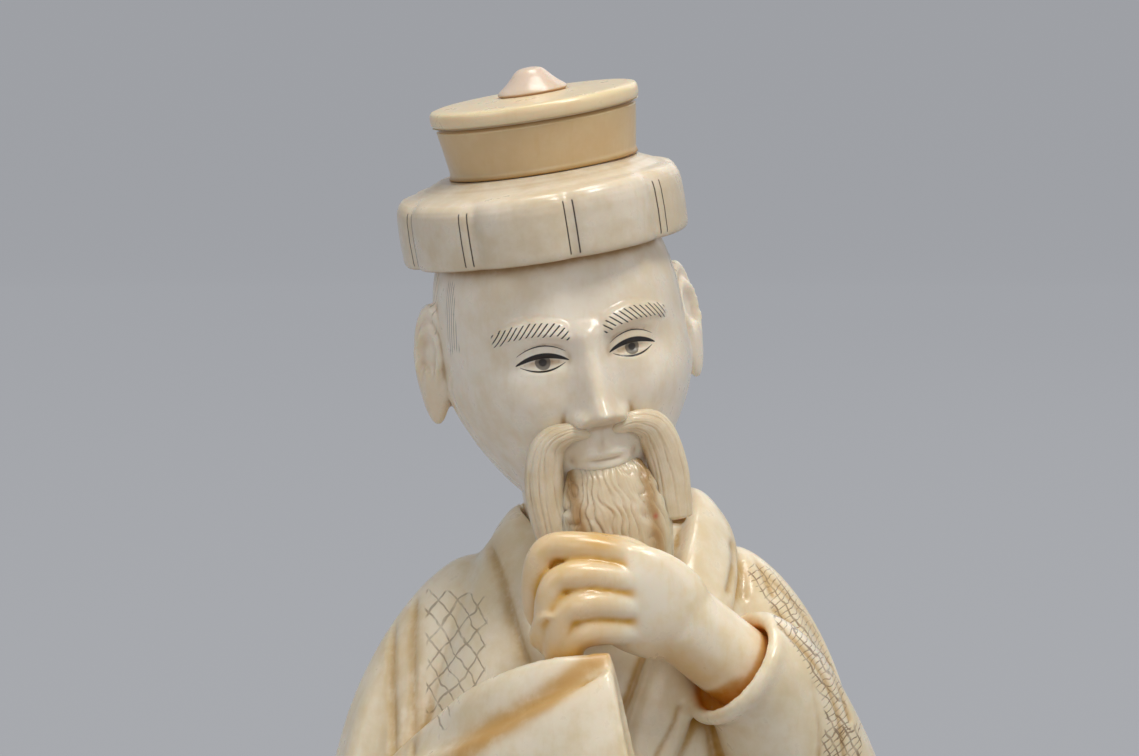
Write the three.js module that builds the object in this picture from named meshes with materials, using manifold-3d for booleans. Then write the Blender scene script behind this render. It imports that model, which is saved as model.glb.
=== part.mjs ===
// Carved ivory half-figure of a robed old man in a round hat, one hand at the end of his long beard.
// Millimetres, +Z up, the front looks along -Y, and the origin is on the upright axis in the flat underside.
import * as THREE from 'three';
import { mergeVertices } from 'three/addons/utils/BufferGeometryUtils.js';
import Module from 'manifold-3d';

const wasm = await Module();
wasm.setup();

// Driving dimensions
const seatGap = 0.3; // clear space between two fitted pieces

const head = {
  width: 20.4,
  height: 28, // top of the skull to the chin
  chinLevel: 36, // underside of the chin above the flat base
  front: 11.6, // from the head's axis to the face
  back: 12.4, // from the head's axis to the back of the head
  aside: -3, // the head's axis, towards the figure's left
  turn: 10, // degrees towards the figure's left
  nod: 4, // degrees forward
  lean: -9, // degrees towards the figure's right
};

const neck = { radius: 5.2, depth: 4.8, back: 1.4 }; // depth below the chin

const ear = { height: 10.4, width: 4.4, thick: 2.2, level: -0.1, stand: 0.6, flare: 34 };

const band = { standOff: 1.7, foot: 8.2, height: 5.5, edge: 1, folds: 9, fold: 0.3, ledgeRise: 1.1 };

const crown = { footRadius: 7.8, topRadius: 8.35, height: 4.1, peg: 1.2, pegShare: 0.6, aside: 0.75 };

const disc = { overhang: 0.3, height: 1.5, edge: 0.7, dome: 0.25, groove: 0.18, grooveHeight: 0.3 };

const finial = { radius: 2.9, height: 2.1 };

const moustache = { halfWidth: 1.65, halfThick: 1.2, hang: 0.6 }; // hang below the chin

const beard = { halfWidth: 4.6, halfThick: 1.9, hang: 7, locks: 7, lockDepth: 0.1 }; // hang below the chin

const wrist = { radius: 3.3, socketDepth: 2.2 };

const cuff = { clearance: 0.85, wall: 0.75, depth: 2.4 }; // clearance round the wrist

const finger = { radius: 1.22 };

const ivory = new THREE.MeshStandardMaterial({ color: 0xe9dcc3, roughness: 0.32, metalness: 0 });
const paleIvory = new THREE.MeshStandardMaterial({ color: 0xeadfcb, roughness: 0.3, metalness: 0 });
const amberIvory = new THREE.MeshStandardMaterial({ color: 0xddc397, roughness: 0.28, metalness: 0 });
const pinkIvory = new THREE.MeshStandardMaterial({ color: 0xeadacb, roughness: 0.32, metalness: 0 });

// Small functions of shape
const turnRound = 2 * Math.PI;
const degrees = Math.PI / 180;

const rise = (value, low, high) => THREE.MathUtils.smoothstep(value, low, high);

const hill = (x, z, feature) =>
  feature.rise *
  Math.exp(-(((x - feature.at[0]) / feature.size[0]) ** 2) - ((z - feature.at[1]) / feature.size[1]) ** 2);

const groove = (value, middle, width) => Math.exp(-(((value - middle) / width) ** 2));

// The signed angle from one direction to another, between minus half a turn and half a turn
const angleFrom = (angle, middle) => Math.atan2(Math.sin(angle - middle), Math.cos(angle - middle));

// A closed grid with a pole at each end: each point is placed by its share of a turn round and its share along.
function closedGrid(around, along, place) {
  const grid = new THREE.SphereGeometry(1, around, along);
  const { position, uv } = grid.attributes;
  for (let i = 0; i < position.count; i += 1) {
    const point = place(uv.getX(i), 1 - uv.getY(i));
    position.setXYZ(i, point.x, point.y, point.z);
  }
  return grid;
}

// A tube along a curve through stations of [x, y, z, half width, half thickness]. Its width lies along side,
// its ends are domed over a share of its length, and carve gives a change of radius as a share.
function limb({ stations, side, around = 12, along = 14, domes = [0.15, 0.15], carve = () => 0 }) {
  const line = new THREE.CatmullRomCurve3(
    stations.map(([x, y, z]) => new THREE.Vector3(x, y, z)), false, 'catmullrom', 0.5);
  const halves = new THREE.CatmullRomCurve3(
    stations.map((station) => new THREE.Vector3(station[3], station[4], 0)), false, 'catmullrom', 0.5);
  const across = new THREE.Vector3(...side);
  return closedGrid(around, along, (turn, fall) => {
    const share = (1 - Math.cos(Math.PI * fall)) / 2;
    const centre = line.getPoint(share);
    const half = halves.getPoint(share);
    const forward = line.getTangent(share);
    const wide = across.clone().addScaledVector(forward, -across.dot(forward)).normalize();
    const thick = forward.clone().cross(wide);
    const startDome = Math.sqrt(1 - Math.max(0, 1 - share / domes[0]) ** 2);
    const endDome = Math.sqrt(1 - Math.max(0, 1 - (1 - share) / domes[1]) ** 2);
    const angle = turn * turnRound;
    const size = Math.min(startDome, endDome) * (1 + carve(angle, share));
    return centre
      .addScaledVector(wide, half.x * size * Math.cos(angle))
      .addScaledVector(thick, half.y * size * Math.sin(angle));
  });
}

// A turned solid about the Z axis, from a profile of [radius, height] that starts and ends on the axis
function turned(profile, segments) {
  const lathe = new THREE.LatheGeometry(profile.map(([r, z]) => new THREE.Vector2(r, z)), segments);
  return lathe.rotateX(Math.PI / 2);
}

// Stations mirrored to the figure's other side
const mirrored = (stations) => stations.map(([x, ...rest]) => [-x, ...rest]);

// Solids and meshes
function solid(geometry, matrix = new THREE.Matrix4()) {
  const bare = new THREE.BufferGeometry().setIndex(geometry.index);
  bare.setAttribute('position', geometry.getAttribute('position').clone());
  bare.applyMatrix4(matrix);
  const merged = mergeVertices(bare, 1e-4);
  const corners = [];
  for (let i = 0; i < merged.index.count; i += 3) {
    const [a, b, c] = [0, 1, 2].map((corner) => merged.index.getX(i + corner));
    if (a !== b && b !== c && c !== a) corners.push([a, b, c]);
  }
  const make = (faces) => new wasm.Manifold(new wasm.Mesh({
    numProp: 3,
    vertProperties: merged.attributes.position.array,
    triVerts: new Uint32Array(faces.flat()),
  }));
  const made = make(corners);
  return made.volume() > 0 ? made : make(corners.map(([a, b, c]) => [a, c, b]));
}

const joined = (solids) => solids.reduce((whole, next) => whole.add(next));

const moved = (shape, matrix) => shape.transform(matrix.elements);

function meshOf(name, shape, material) {
  const { vertProperties, triVerts, numProp } = shape.getMesh();
  const indexed = new THREE.BufferGeometry().setIndex(new THREE.BufferAttribute(triVerts, 1));
  indexed.setAttribute('position', new THREE.InterleavedBufferAttribute(
    new THREE.InterleavedBuffer(vertProperties, numProp), 3, 0));
  const flat = indexed.toNonIndexed();
  flat.computeVertexNormals();
  const mesh = new THREE.Mesh(flat, material);
  mesh.name = name;
  return mesh;
}

// The head's own frame: +X to the figure's left, -Y the way it looks, origin level with the eyes on its axis
const headGroup = new THREE.Group();
headGroup.position.set(head.aside, 0, head.chinLevel + head.height / 2); // level with the eyes
headGroup.quaternion
  .setFromAxisAngle(new THREE.Vector3(0, 1, 0), head.lean * degrees)
  .multiply(new THREE.Quaternion().setFromAxisAngle(new THREE.Vector3(1, 0, 0), head.nod * degrees))
  .multiply(new THREE.Quaternion().setFromAxisAngle(new THREE.Vector3(0, 0, 1), head.turn * degrees));
headGroup.updateMatrixWorld(true);

// Relief of the face. Places and sizes are shares of the half width and half height; rises are millimetres
// forward. Every feature is on both sides.
const faceFeatures = {
  browRidge: { at: [0.36, 0.15], size: [0.34, 0.08], rise: 0.5 },
  eyeSocket: { at: [0.37, 0.01], size: [0.21, 0.085], rise: -1.35 },
  eyeball: { at: [0.37, -0.005], size: [0.16, 0.06], rise: 0.95 },
  cheek: { at: [0.56, -0.22], size: [0.26, 0.16], rise: 0.8 },
  nostril: { at: [0.155, -0.355], size: [0.075, 0.05], rise: 1.3 },
  mouthMound: { at: [0, -0.585], size: [0.34, 0.19], rise: 0.5 },
  upperLip: { at: [0.1, -0.55], size: [0.15, 0.035], rise: 0.3 },
  lowerLip: { at: [0, -0.65], size: [0.2, 0.04], rise: 0.3 },
  mouthLine: { at: [0, -0.6], size: [0.28, 0.022], rise: -0.3 },
  underLip: { at: [0, -0.73], size: [0.22, 0.05], rise: -0.3 },
  chin: { at: [0, -0.87], size: [0.26, 0.13], rise: 0.8 },
  temple: { at: [0.86, 0.12], size: [0.16, 0.13], rise: -0.4 },
};

const nose = { bridge: 0.12, tip: -0.33, base: -0.42, bridgeRise: 0.9, tipRise: 3.2, width: [0.12, 0.17] };

const brow = { inner: 0.14, outer: 0.68, level: 0.165, arch: 0.045, halfHeight: 0.06, rise: 0.4 };

function noseRise(across, level) {
  const down = THREE.MathUtils.clamp((nose.bridge - level) / (nose.bridge - nose.tip), 0, 1);
  const width = THREE.MathUtils.lerp(...nose.width, down);
  const height = THREE.MathUtils.lerp(nose.bridgeRise, nose.tipRise, down);
  const above = 1 - rise(level, nose.bridge, nose.bridge + 0.12);
  return height * above * rise(level, nose.base, nose.tip) * groove(across, 0, width);
}

function browRise(across, level) {
  const along = (across - brow.inner) / (brow.outer - brow.inner);
  const middle = brow.level + brow.arch * Math.sin(Math.PI * THREE.MathUtils.clamp(along, 0, 1));
  const ends = rise(along, -0.2, 0.2) * (1 - rise(along, 0.8, 1.15));
  return brow.rise * ends * (1 - rise(Math.abs(level - middle) / brow.halfHeight, 0.4, 1.6));
}

function faceRise(across, level) {
  const features = Object.values(faceFeatures).reduce((sum, feature) => sum + hill(across, level, feature), 0);
  return features + noseRise(across, level) + browRise(across, level);
}

// Half width of the head as a share, narrowing from the cheekbones to the chin
const jaw = (level) => 1 - 0.22 * rise(-level, 0.1, 0.95);

// A point of the skull, whose size is grown by a gap where it is used to clear a neighbour
function headPoint(turn, fall, gap) {
  const swing = 2 * turn - 1;
  const angle = Math.PI * swing * (0.52 + 0.48 * swing * swing); // close columns over the face
  const tilt = Math.PI * (fall + 0.09 * Math.sin(turnRound * fall)) ** 0.92; // and close rows
  const roundness = 2.5;
  const polar = (Math.abs(Math.cos(tilt)) ** roundness + Math.sin(tilt) ** roundness) ** (-1 / roundness);
  const level = polar * Math.cos(tilt);
  const ring = polar * Math.sin(tilt);
  const around = (Math.abs(Math.cos(angle)) ** 2.2 + Math.abs(Math.sin(angle)) ** 2.2) ** (-1 / 2.2);
  const across = ring * around * Math.sin(angle) * jaw(level);
  const ahead = Math.cos(angle);
  const depth = (ahead > 0 ? head.front : head.back) + gap;
  const facing = rise(ahead, 0, 0.45) * rise(ring, 0, 0.3);
  const lowerFace = rise(-level, 0.1, 0.6) * rise(ahead, 0, 0.6);
  const reach = THREE.MathUtils.lerp(ring, ring ** 0.45, lowerFace);
  return new THREE.Vector3(
    across * (head.width / 2 + gap),
    -reach * around * ahead * depth - faceRise(Math.abs(across), level) * facing,
    level * (head.height / 2 + gap));
}

// One ear: an upright oval, wide above and narrow at the lobe, with a rim round a hollow
function earSolid(sideways) {
  const shape = closedGrid(11, 6, (turn, fall) => {
    const angle = turn * turnRound;
    const reach = Math.sin(Math.PI * fall);
    const high = Math.sin(angle);
    const oval = 1 - 0.28 * rise(-high, -0.1, 1);
    const bowl = fall < 0.5 ? 0.75 * (1 - rise(reach, 0.35, 0.8)) : 0;
    return new THREE.Vector3(
      (Math.cos(Math.PI * fall) - bowl) * (ear.thick / 2),
      reach * oval * Math.cos(angle) * (ear.width / 2),
      reach * high * (ear.height / 2));
  });
  shape.rotateX(8 * degrees);
  shape.rotateZ(-ear.flare * degrees);
  shape.translate(head.width / 2 + ear.stand, 1.6, ear.level);
  if (sideways < 0) shape.scale(-1, 1, 1);
  return solid(shape);
}

// The hat's band: an upright cushion of equal folds round the head, with a sloping ledge inside its top
function bandSolid() {
  const foot = band.foot;
  const top = foot + band.height;
  const seat = top + band.ledgeRise;
  const outer = head.width / 2 + band.standOff;
  const long = (head.front + head.back) / 2 + band.standOff;
  const profile = [
    [0, foot], [0.8, foot], [0.97, foot + 0.1], [1, foot + 0.5], [1.005, top - band.edge * 1.6],
    [0.985, top - band.edge * 0.6], [0.93, top - 0.05], [0.86, top + 0.15],
    [(crown.footRadius + 0.5) / outer, seat], [0, seat],
  ];
  const shape = turned(profile, 45);
  const { position } = shape.attributes;
  for (let i = 0; i < position.count; i += 1) {
    const [x, y] = [position.getX(i), position.getY(i)];
    const out = Math.hypot(x, y);
    const angle = Math.atan2(y, x) + Math.PI / 2;
    const fold = band.fold * Math.abs(Math.cos((band.folds * angle) / 2)) ** 8 * rise(out, 0.85, 1);
    const stretch = rise(out, 0.75, 0.95);
    const reach = THREE.MathUtils.lerp(outer, long, stretch);
    position.setXY(i, x * (outer - fold), y * (reach - fold) + stretch * (head.back - head.front) / 2);
  }
  return solid(shape);
}

// Both halves of the moustache, which hang past the mouth and end cut square
const chin = -head.height / 2;

const moustacheStations = [
  [0.09, 1.02, -0.45, 0.6, 0.5],
  [0.27, 1, -0.42, 0.9, 0.9],
  [0.44, 0.93, -0.5, moustache.halfThick, moustache.halfWidth * 0.9],
  [0.51, 0.9, -0.74, moustache.halfThick, moustache.halfWidth],
  [0.49, 0.92, -1 - moustache.hang / (head.height / 2), moustache.halfThick * 0.85, moustache.halfWidth * 0.95],
].map(([x, y, z, ...halves]) => [x * head.width / 2, -y * head.front, z * head.height / 2, ...halves]);

const moustacheHalf = (stations) =>
  solid(limb({ stations, side: [0, 1, 0], around: 8, along: 10, domes: [0.2, 0.02] }));

const beardSolid = () => solid(limb({
  stations: [
    [0, 0.84, 4.6, beard.halfWidth * 0.75, beard.halfThick],
    [0, 0.905, 1.6, beard.halfWidth * 0.95, beard.halfThick],
    [0.1, 0.95, beard.hang * -0.2, beard.halfWidth, beard.halfThick * 0.9],
    [0.3, 0.975, beard.hang * -0.63, beard.halfWidth * 0.85, beard.halfThick * 0.7],
    [0.5, 0.98, -beard.hang, beard.halfWidth * 0.6, beard.halfThick * 0.5],
  ].map(([x, y, z, ...halves]) => [x, -y * head.front, chin + z, ...halves]),
  side: [1, 0, 0],
  around: 22,
  along: 8,
  domes: [0.3, 0.12],
  carve: (angle, share) => -beard.lockDepth * Math.abs(Math.sin(beard.locks * angle / 2 + 2 * share)) ** 2,
}));

const neckSolid = (gap) => solid(turned([
  [0, chin - neck.depth - gap], [neck.radius + gap, chin - neck.depth - gap],
  [neck.radius + gap, chin / 2], [0, chin / 2],
], 20).translate(0, neck.back, 0));

const skullSolid = (gap) => solid(closedGrid(34, 32, (turn, fall) => headPoint(turn, fall, gap)));

function headMesh() {
  const parts = [
    skullSolid(0), earSolid(1), earSolid(-1), bandSolid(), beardSolid(),
    moustacheHalf(moustacheStations), moustacheHalf(mirrored(moustacheStations)), neckSolid(0),
  ];
  const grip = moved(handSolid(seatGap), headGroup.matrixWorld.clone().invert());
  return meshOf('head', joined(parts).subtract(crownSocket()).subtract(grip), paleIvory);
}

// The hat's crown stands on the band's ledge with a peg in a shallow socket
const ledge = band.foot + band.height + band.ledgeRise;
const crownFoot = ledge + seatGap;
const pegRadius = crown.footRadius * crown.pegShare;
const crownTop = crownFoot + crown.height;
const discTop = crownTop + disc.height;

function crownSocket() {
  const depth = crown.peg;
  return solid(turned([
    [0, ledge - depth], [pegRadius + seatGap, ledge - depth], [pegRadius + seatGap, ledge + 1], [0, ledge + 1],
  ], 20).translate(crown.aside, 0, 0));
}

function crownMesh() {
  const rim = crown.topRadius + disc.overhang;
  const profile = [
    [0, crownFoot - crown.peg + seatGap], [pegRadius, crownFoot - crown.peg + seatGap], [pegRadius, crownFoot],
    [crown.footRadius, crownFoot], [crown.topRadius, crownTop - disc.grooveHeight],
    [crown.topRadius - disc.groove, crownTop - disc.grooveHeight / 2], [crown.topRadius, crownTop],
    [rim, crownTop + 0.25], [rim + 0.12, crownTop + disc.height * 0.5],
    [rim - disc.edge * 0.35, discTop - disc.edge * 0.3], [rim - disc.edge, discTop],
    [finial.radius + 0.6, discTop + disc.dome], [0, discTop + disc.dome],
  ];
  return meshOf('hat_crown', solid(turned(profile, 28).translate(crown.aside, 0, 0)), amberIvory);
}

function finialMesh() {
  const foot = discTop + disc.dome + seatGap;
  const profile = [
    [0, 0], [1, 0], [0.98, 0.13], [0.8, 0.34], [0.57, 0.62], [0.38, 0.86], [0.2, 0.97], [0, 1],
  ].map(([out, up]) => [out * finial.radius, foot + up * finial.height]);
  return meshOf('hat_finial', solid(turned(profile, 14).translate(crown.aside, 0, 0)), pinkIvory);
}

// Robe, in the figure's frame
const torsoSolid = () => solid(limb({
  stations: [
    [0, 0, -5, 16.5, 12.6],
    [0, 0, 6, 16.2, 12.4],
    [0, 0.1, 15, 15.4, 11.6],
    [0.2, 0.5, 23, 13.8, 10.4],
    [0.3, 1.2, 29, 11.8, 8.6],
    [0.3, 1.8, 32.6, 10, 7],
    [0.3, 2.1, 34.9, 7.6, 5.8],
  ],
  side: [1, 0, 0],
  around: 32,
  along: 13,
  domes: [0.02, 0.06],
  carve: (angle, share) => {
    const square = (Math.abs(Math.cos(angle)) ** 2.8 + Math.abs(Math.sin(angle)) ** 2.8) ** (-1 / 2.8) - 1;
    const low = 1 - rise(share, 0.45, 0.8);
    const backFolds = 0.02 * Math.cos(9 * angle) * rise(Math.sin(angle), 0.1, 0.6);
    return square * (1 - 0.7 * share) + low * backFolds;
  },
}));

// Each upper sleeve hangs from the shoulder to below the cut, a little back of the robe's front
const upperSleeves = {
  right: [
    [-6.6, 2.4, 31, 3.4, 4],
    [-10.8, 2.4, 26.2, 5.2, 5.4],
    [-14, 2, 19.8, 6.2, 6.2],
    [-15.8, 1.4, 12.5, 6.8, 7],
    [-16.6, 0.8, 4, 7.4, 7.8],
    [-16.8, 0.6, -4, 7.6, 8],
  ],
  left: [
    [7, 2.6, 31.6, 3.6, 4.2],
    [11.4, 2.4, 26.8, 5.2, 5.6],
    [14.1, 1.8, 20.4, 6.1, 6.6],
    [15.5, 1, 12.5, 6.6, 7.4],
    [16, 0.4, 4, 7.2, 8],
    [16.2, 0.2, -4, 7.4, 8.2],
  ],
};

const upperSleeve = (stations) => solid(limb({
  stations,
  side: [1, 0, 0],
  around: 22,
  along: 10,
  domes: [0.12, 0.02],
  carve: (angle, share) => {
    const sideways = Math.sign(stations[0][0]);
    const front = angleFrom(angle, -Math.PI / 2 - sideways * 0.3);
    const fall = rise(share, 0.12, 0.4);
    const frontFolds = -0.1 * groove(front, 0, 0.2);
    const backFolds = 0.035 * Math.cos(7 * angle) * rise(Math.sin(angle), 0, 0.5);
    return fall * (frontFolds + backFolds);
  },
}));

// The figure's right forearm crosses in front in a wide hanging sleeve, open towards his left
const rightSleeve = {
  stations: [
    [-16, -2, 5.5, 8, 6.5],
    [-13.5, -9.4, 7.9, 10.2, 6],
    [-8.6, -16, 10.5, 12.2, 4.9],
    [-2.2, -19.9, 13.4, 12.8, 4.3],
    [3.4, -20.3, 14.6, 12.6, 4.2],
  ],
  side: [0, 0, 1],
};

const crossingSleeve = () => solid(limb({
  ...rightSleeve,
  around: 26,
  along: 10,
  domes: [0.15, 0.015],
  carve: (angle, share) => {
    const valley = 0.14 + 0.33 * (1 - rise(share, 0.65, 1)); // it runs down from the sleeve's front corner
    const depth = 0.18 * rise(share, 0.15, 0.55) * (1 - 0.5 * rise(share, 0.85, 1));
    return -depth * groove(angleFrom(angle, valley), 0, 0.25);
  },
}));

const sleeveMouth = () => solid(limb({
  stations: [
    [-2.8, -19.8, 13.8, 4.8, 1.9],
    [1, -20.2, 14, 8.4, 2.8],
    [5.4, -20.5, 15, 10.8, 3.3],
  ],
  side: rightSleeve.side,
  around: 18,
  along: 8,
  domes: [0.3, 0.02],
}));

// The figure's left forearm rises to a round cuff that faces his hand
const wristAim = new THREE.Vector3(-0.72, -0.4, 0.57).normalize();
const cuffMouth = new THREE.Vector3(11, -12.2, 24.6);
const onWrist = (distance) => cuffMouth.clone().addScaledVector(wristAim, distance).toArray();
const cuffInner = wrist.radius + cuff.clearance;
const cuffOuter = cuffInner + cuff.wall;

const leftForearm = () => solid(limb({
  stations: [
    [17.4, -1, 5, 7.5, 7.5],
    [17.6, -4.5, 10.5, 6.8, 6.8],
    [16, -8.2, 17, 5.9, 5.9],
    [...onWrist(-3.4), cuffOuter + 0.35, cuffOuter + 0.35],
    [...onWrist(0), cuffOuter, cuffOuter],
  ],
  side: [0.3, -0.9, 0.2],
  around: 22,
  along: 10,
  domes: [0.2, 0.01],
}));

const cuffHollow = () => solid(limb({
  stations: [-cuff.depth, 0, 2].map((distance) => [...onWrist(distance), cuffInner, cuffInner]),
  side: [0.3, -0.9, 0.2],
  around: 18,
  along: 4,
  domes: [0.02, 0.02],
}));

// The two lapels of the robe run down from behind the neck and cross, the figure's left over his right
const lapels = [
  {
    side: [0.6, 0, 0.8], // each band leans off the neck and lies flat on the chest
    stations: [
      [3.2, 9.4, 34.6, 1.9, 1.2],
      [-3.6, 8.4, 34.4, 1.9, 1.2],
      [-7.2, 1.8, 34.2, 2.1, 1.2],
      [-6.3, -3.8, 31.6, 2.2, 1.1],
      [-4.7, -7.9, 27.2, 2.2, 1.1],
      [-2.4, -10, 22, 2, 1],
      [0.2, -10.9, 16.4, 1.8, 0.9],
    ],
  },
  {
    side: [-0.6, 0, 0.8],
    stations: [
      [-2.6, 9.4, 34.5, 1.9, 1.2],
      [4.8, 8.2, 34.9, 2, 1.2],
      [8.8, 2, 35.4, 2.4, 1.2],
      [9.2, -3, 32.9, 2.8, 1.2],
      [8.2, -7, 28.8, 2.9, 1.2],
      [6.2, -10, 23.6, 2.6, 1.2],
      [3.4, -11.6, 16.6, 2.3, 1.1],
      [0, -12.2, 8, 2, 1],
      [-3.5, -12.4, -3, 1.8, 1],
    ],
  },
];

const lapelSolid = (lapel) => solid(limb({ ...lapel, around: 8, along: 15, domes: [0.05, 0.05] }));

// Left hand: the forearm end, the back of the hand, four fingers bent down over the beard, and the thumb
const handStations = {
  wrist: [
    [...onWrist(0.5), wrist.radius, wrist.radius],
    [7.3, -14.2, 27.7, wrist.radius, wrist.radius * 0.85],
    [5.2, -15.4, 29.3, 3.6, 2.3],
  ],
  palm: [
    [8.2, -13.8, 27, 2.6, 2],
    [5.4, -15.3, 29, 4.1, 2.3],
    [2.8, -16.2, 30.5, 4.4, 1.8],
    [0.4, -16.4, 31.1, 3.8, 1.2],
  ],
  fingers: [
    [[4.4, -14.8, 32.4], [1.6, -16.4, 34], [-1.8, -17, 34.7], [-4.4, -16.8, 34.4], [-5.4, -16, 31.2], [-4.9, -14.6, 27.6]],
    [[4.8, -15.4, 31], [2, -17, 32], [-1.6, -18, 32.5], [-3.7, -18, 31.8], [-4.4, -17.4, 28.4], [-4.1, -15.4, 25.8]],
    [[4.8, -15.4, 29.4], [2, -17.1, 30], [-1.3, -18.4, 30.2], [-3, -18.4, 29.3], [-3.5, -17.5, 26.5], [-3.2, -15.2, 24.6]],
    [[4.6, -15, 27.8], [1.8, -16.7, 28], [-0.9, -18, 28], [-2.2, -18, 27.1], [-2.7, -17, 24.9], [-2.3, -15, 23.4]],
  ],
  thumb: [[6, -13.6, 31], [2.8, -13.9, 33.6], [-0.6, -14.4, 34.4], [-3.6, -15, 34.2]],
};

const fingerSolid = (points, gap) => solid(limb({
  stations: points.map((point, i) => {
    const radius = finger.radius * (1.1 - 0.06 * i) + gap;
    return [...point, radius, radius];
  }),
  side: [0, 1, 0],
  around: 7,
  along: 9,
  domes: [0.15, 0.12],
}));

// The hand, or the same hand grown by a gap to clear what it touches
function handSolid(gap) {
  const grown = (stations) => stations.map(([x, y, z, wide, thick]) => [x, y, z, wide + gap, thick + gap]);
  const wristEnd = [...onWrist(seatGap - gap - cuff.depth - wrist.socketDepth), wrist.radius, wrist.radius];
  const shared = { side: [0.45, -0.1, 0.9], around: 14 };
  return joined([
    solid(limb({ ...shared, stations: grown([wristEnd, ...handStations.wrist]), along: 7, domes: [0.02, 0.2] })),
    solid(limb({ ...shared, stations: grown(handStations.palm), along: 6, domes: [0.2, 0.25] })),
    ...[...handStations.fingers, handStations.thumb].map((points) => fingerSolid(points, gap)),
  ]);
}

function robeMesh() {
  const cloth = joined([
    torsoSolid(), ...Object.values(upperSleeves).map(upperSleeve),
    crossingSleeve(), leftForearm(), ...lapels.map(lapelSolid),
  ]);
  const block = 8 * head.height; // wider and deeper than the figure
  const below = solid(new THREE.BoxGeometry(block, block, block).translate(0, 0, -block / 2));
  const hollows = joined([
    moved(neckSolid(seatGap).add(skullSolid(seatGap)), headGroup.matrixWorld),
    handSolid(seatGap),
    cuffHollow(),
    sleeveMouth(),
  ]);
  return meshOf('robe', cloth.subtract(below).subtract(hollows), ivory);
}

headGroup.add(headMesh(), crownMesh(), finialMesh());

const figure = new THREE.Group();
figure.add(robeMesh(), headGroup, meshOf('left_hand', handSolid(0), ivory));

export default figure;
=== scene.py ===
# Carved ivory bust of a robed old man in a round hat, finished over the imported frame.
# Shapes are worked out in millimetres in the part's own frame, and go into the meshes in metres.
import math
import bpy
import numpy as np
from mathutils import Matrix, Vector


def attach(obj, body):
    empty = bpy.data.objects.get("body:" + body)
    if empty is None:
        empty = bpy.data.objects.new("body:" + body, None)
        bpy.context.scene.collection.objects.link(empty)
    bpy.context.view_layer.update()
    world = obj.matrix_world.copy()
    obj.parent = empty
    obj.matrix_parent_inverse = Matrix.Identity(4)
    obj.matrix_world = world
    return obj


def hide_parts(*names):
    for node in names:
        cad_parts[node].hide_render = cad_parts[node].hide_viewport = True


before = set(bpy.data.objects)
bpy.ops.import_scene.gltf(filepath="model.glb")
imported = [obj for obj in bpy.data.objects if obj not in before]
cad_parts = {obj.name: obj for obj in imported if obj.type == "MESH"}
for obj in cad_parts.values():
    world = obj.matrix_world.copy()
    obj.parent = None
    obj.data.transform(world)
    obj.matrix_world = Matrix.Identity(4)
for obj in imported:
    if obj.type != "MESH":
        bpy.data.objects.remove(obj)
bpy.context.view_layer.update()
print("frame loaded with", len(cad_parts), "nodes")

millimetre = 0.001


# A smooth step from 0 to 1 between two values.
def rise(value, low, high):
    t = np.clip((value - low) / (high - low), 0, 1)
    return t * t * (3 - 2 * t)


# A bell curve of height 1 about a middle.
def bell(value, middle, width):
    return np.exp(-(((value - middle) / width) ** 2))


# A round hill in two parameters, from its place and its size each way and its height.
def hill(x, z, feature):
    atX, atZ, sizeX, sizeZ, height = feature
    return height * bell(x, atX, sizeX) * bell(z, atZ, sizeZ)


# The signed angle from one direction to another.
def angleFrom(angle, middle):
    return np.arctan2(np.sin(angle - middle), np.cos(angle - middle))


# How far a superellipse of half width 1 lies from its middle: the higher its roundness, the squarer it is.
def superellipse(angle, roundness):
    return (np.abs(np.cos(angle)) ** roundness + np.abs(np.sin(angle)) ** roundness) ** (-1 / roundness)


# A uniform Catmull-Rom curve through the stations, with the ends carried on straight.
def curveAt(stations, share):
    p = np.asarray(stations, float)
    p = np.vstack([2 * p[0] - p[1], p, 2 * p[-1] - p[-2]])
    spans = len(p) - 3
    t = np.clip(share, 0, 1) * spans
    i = np.minimum(t.astype(int), spans - 1)
    f = (t - i)[..., None]
    a, b, c, d = p[i], p[i + 1], p[i + 2], p[i + 3]
    return 0.5 * (2 * b + (c - a) * f + (2 * a - 5 * b + 4 * c - d) * f**2 + (3 * b - a - 3 * c + d) * f**3)


# Vectors scaled to length 1.
def unit(vectors):
    return vectors / np.maximum(np.linalg.norm(vectors, axis=-1, keepdims=True), 1e-12)


# A closed grid: rings of points between two poles, each placed by its share of a turn and its share along.
# It is turned the right way out by the sign of its volume.
def closedGrid(around, along, place):
    turn, fall = np.meshgrid(np.arange(around) / around, np.arange(1, along) / along)
    rings = place(turn, fall).reshape(-1, 3)
    poles = place(np.zeros(2), np.array([0.0, 1.0]))
    points = np.vstack([rings, poles])
    row, column = np.meshgrid(np.arange(along - 2), np.arange(around), indexing="ij")
    here, beside = row * around + column, row * around + (column + 1) % around
    quads = np.stack([here, beside, beside + around, here + around], axis=-1).reshape(-1, 4)
    ring = np.arange(around)
    first = np.stack([np.full(around, len(rings)), (ring + 1) % around, ring], axis=-1)
    last = (along - 2) * around
    final = np.stack([np.full(around, len(rings) + 1), last + ring, last + (ring + 1) % around], axis=-1)
    caps = np.vstack([first, final])
    corners = points[np.vstack([quads[:, [0, 1, 2]], quads[:, [0, 2, 3]], caps])]
    if np.einsum("ij,ij->", corners[:, 0], np.cross(corners[:, 1], corners[:, 2])) < 0:
        quads, caps = quads[:, ::-1], caps[:, ::-1]
    return points, quads, caps


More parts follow.
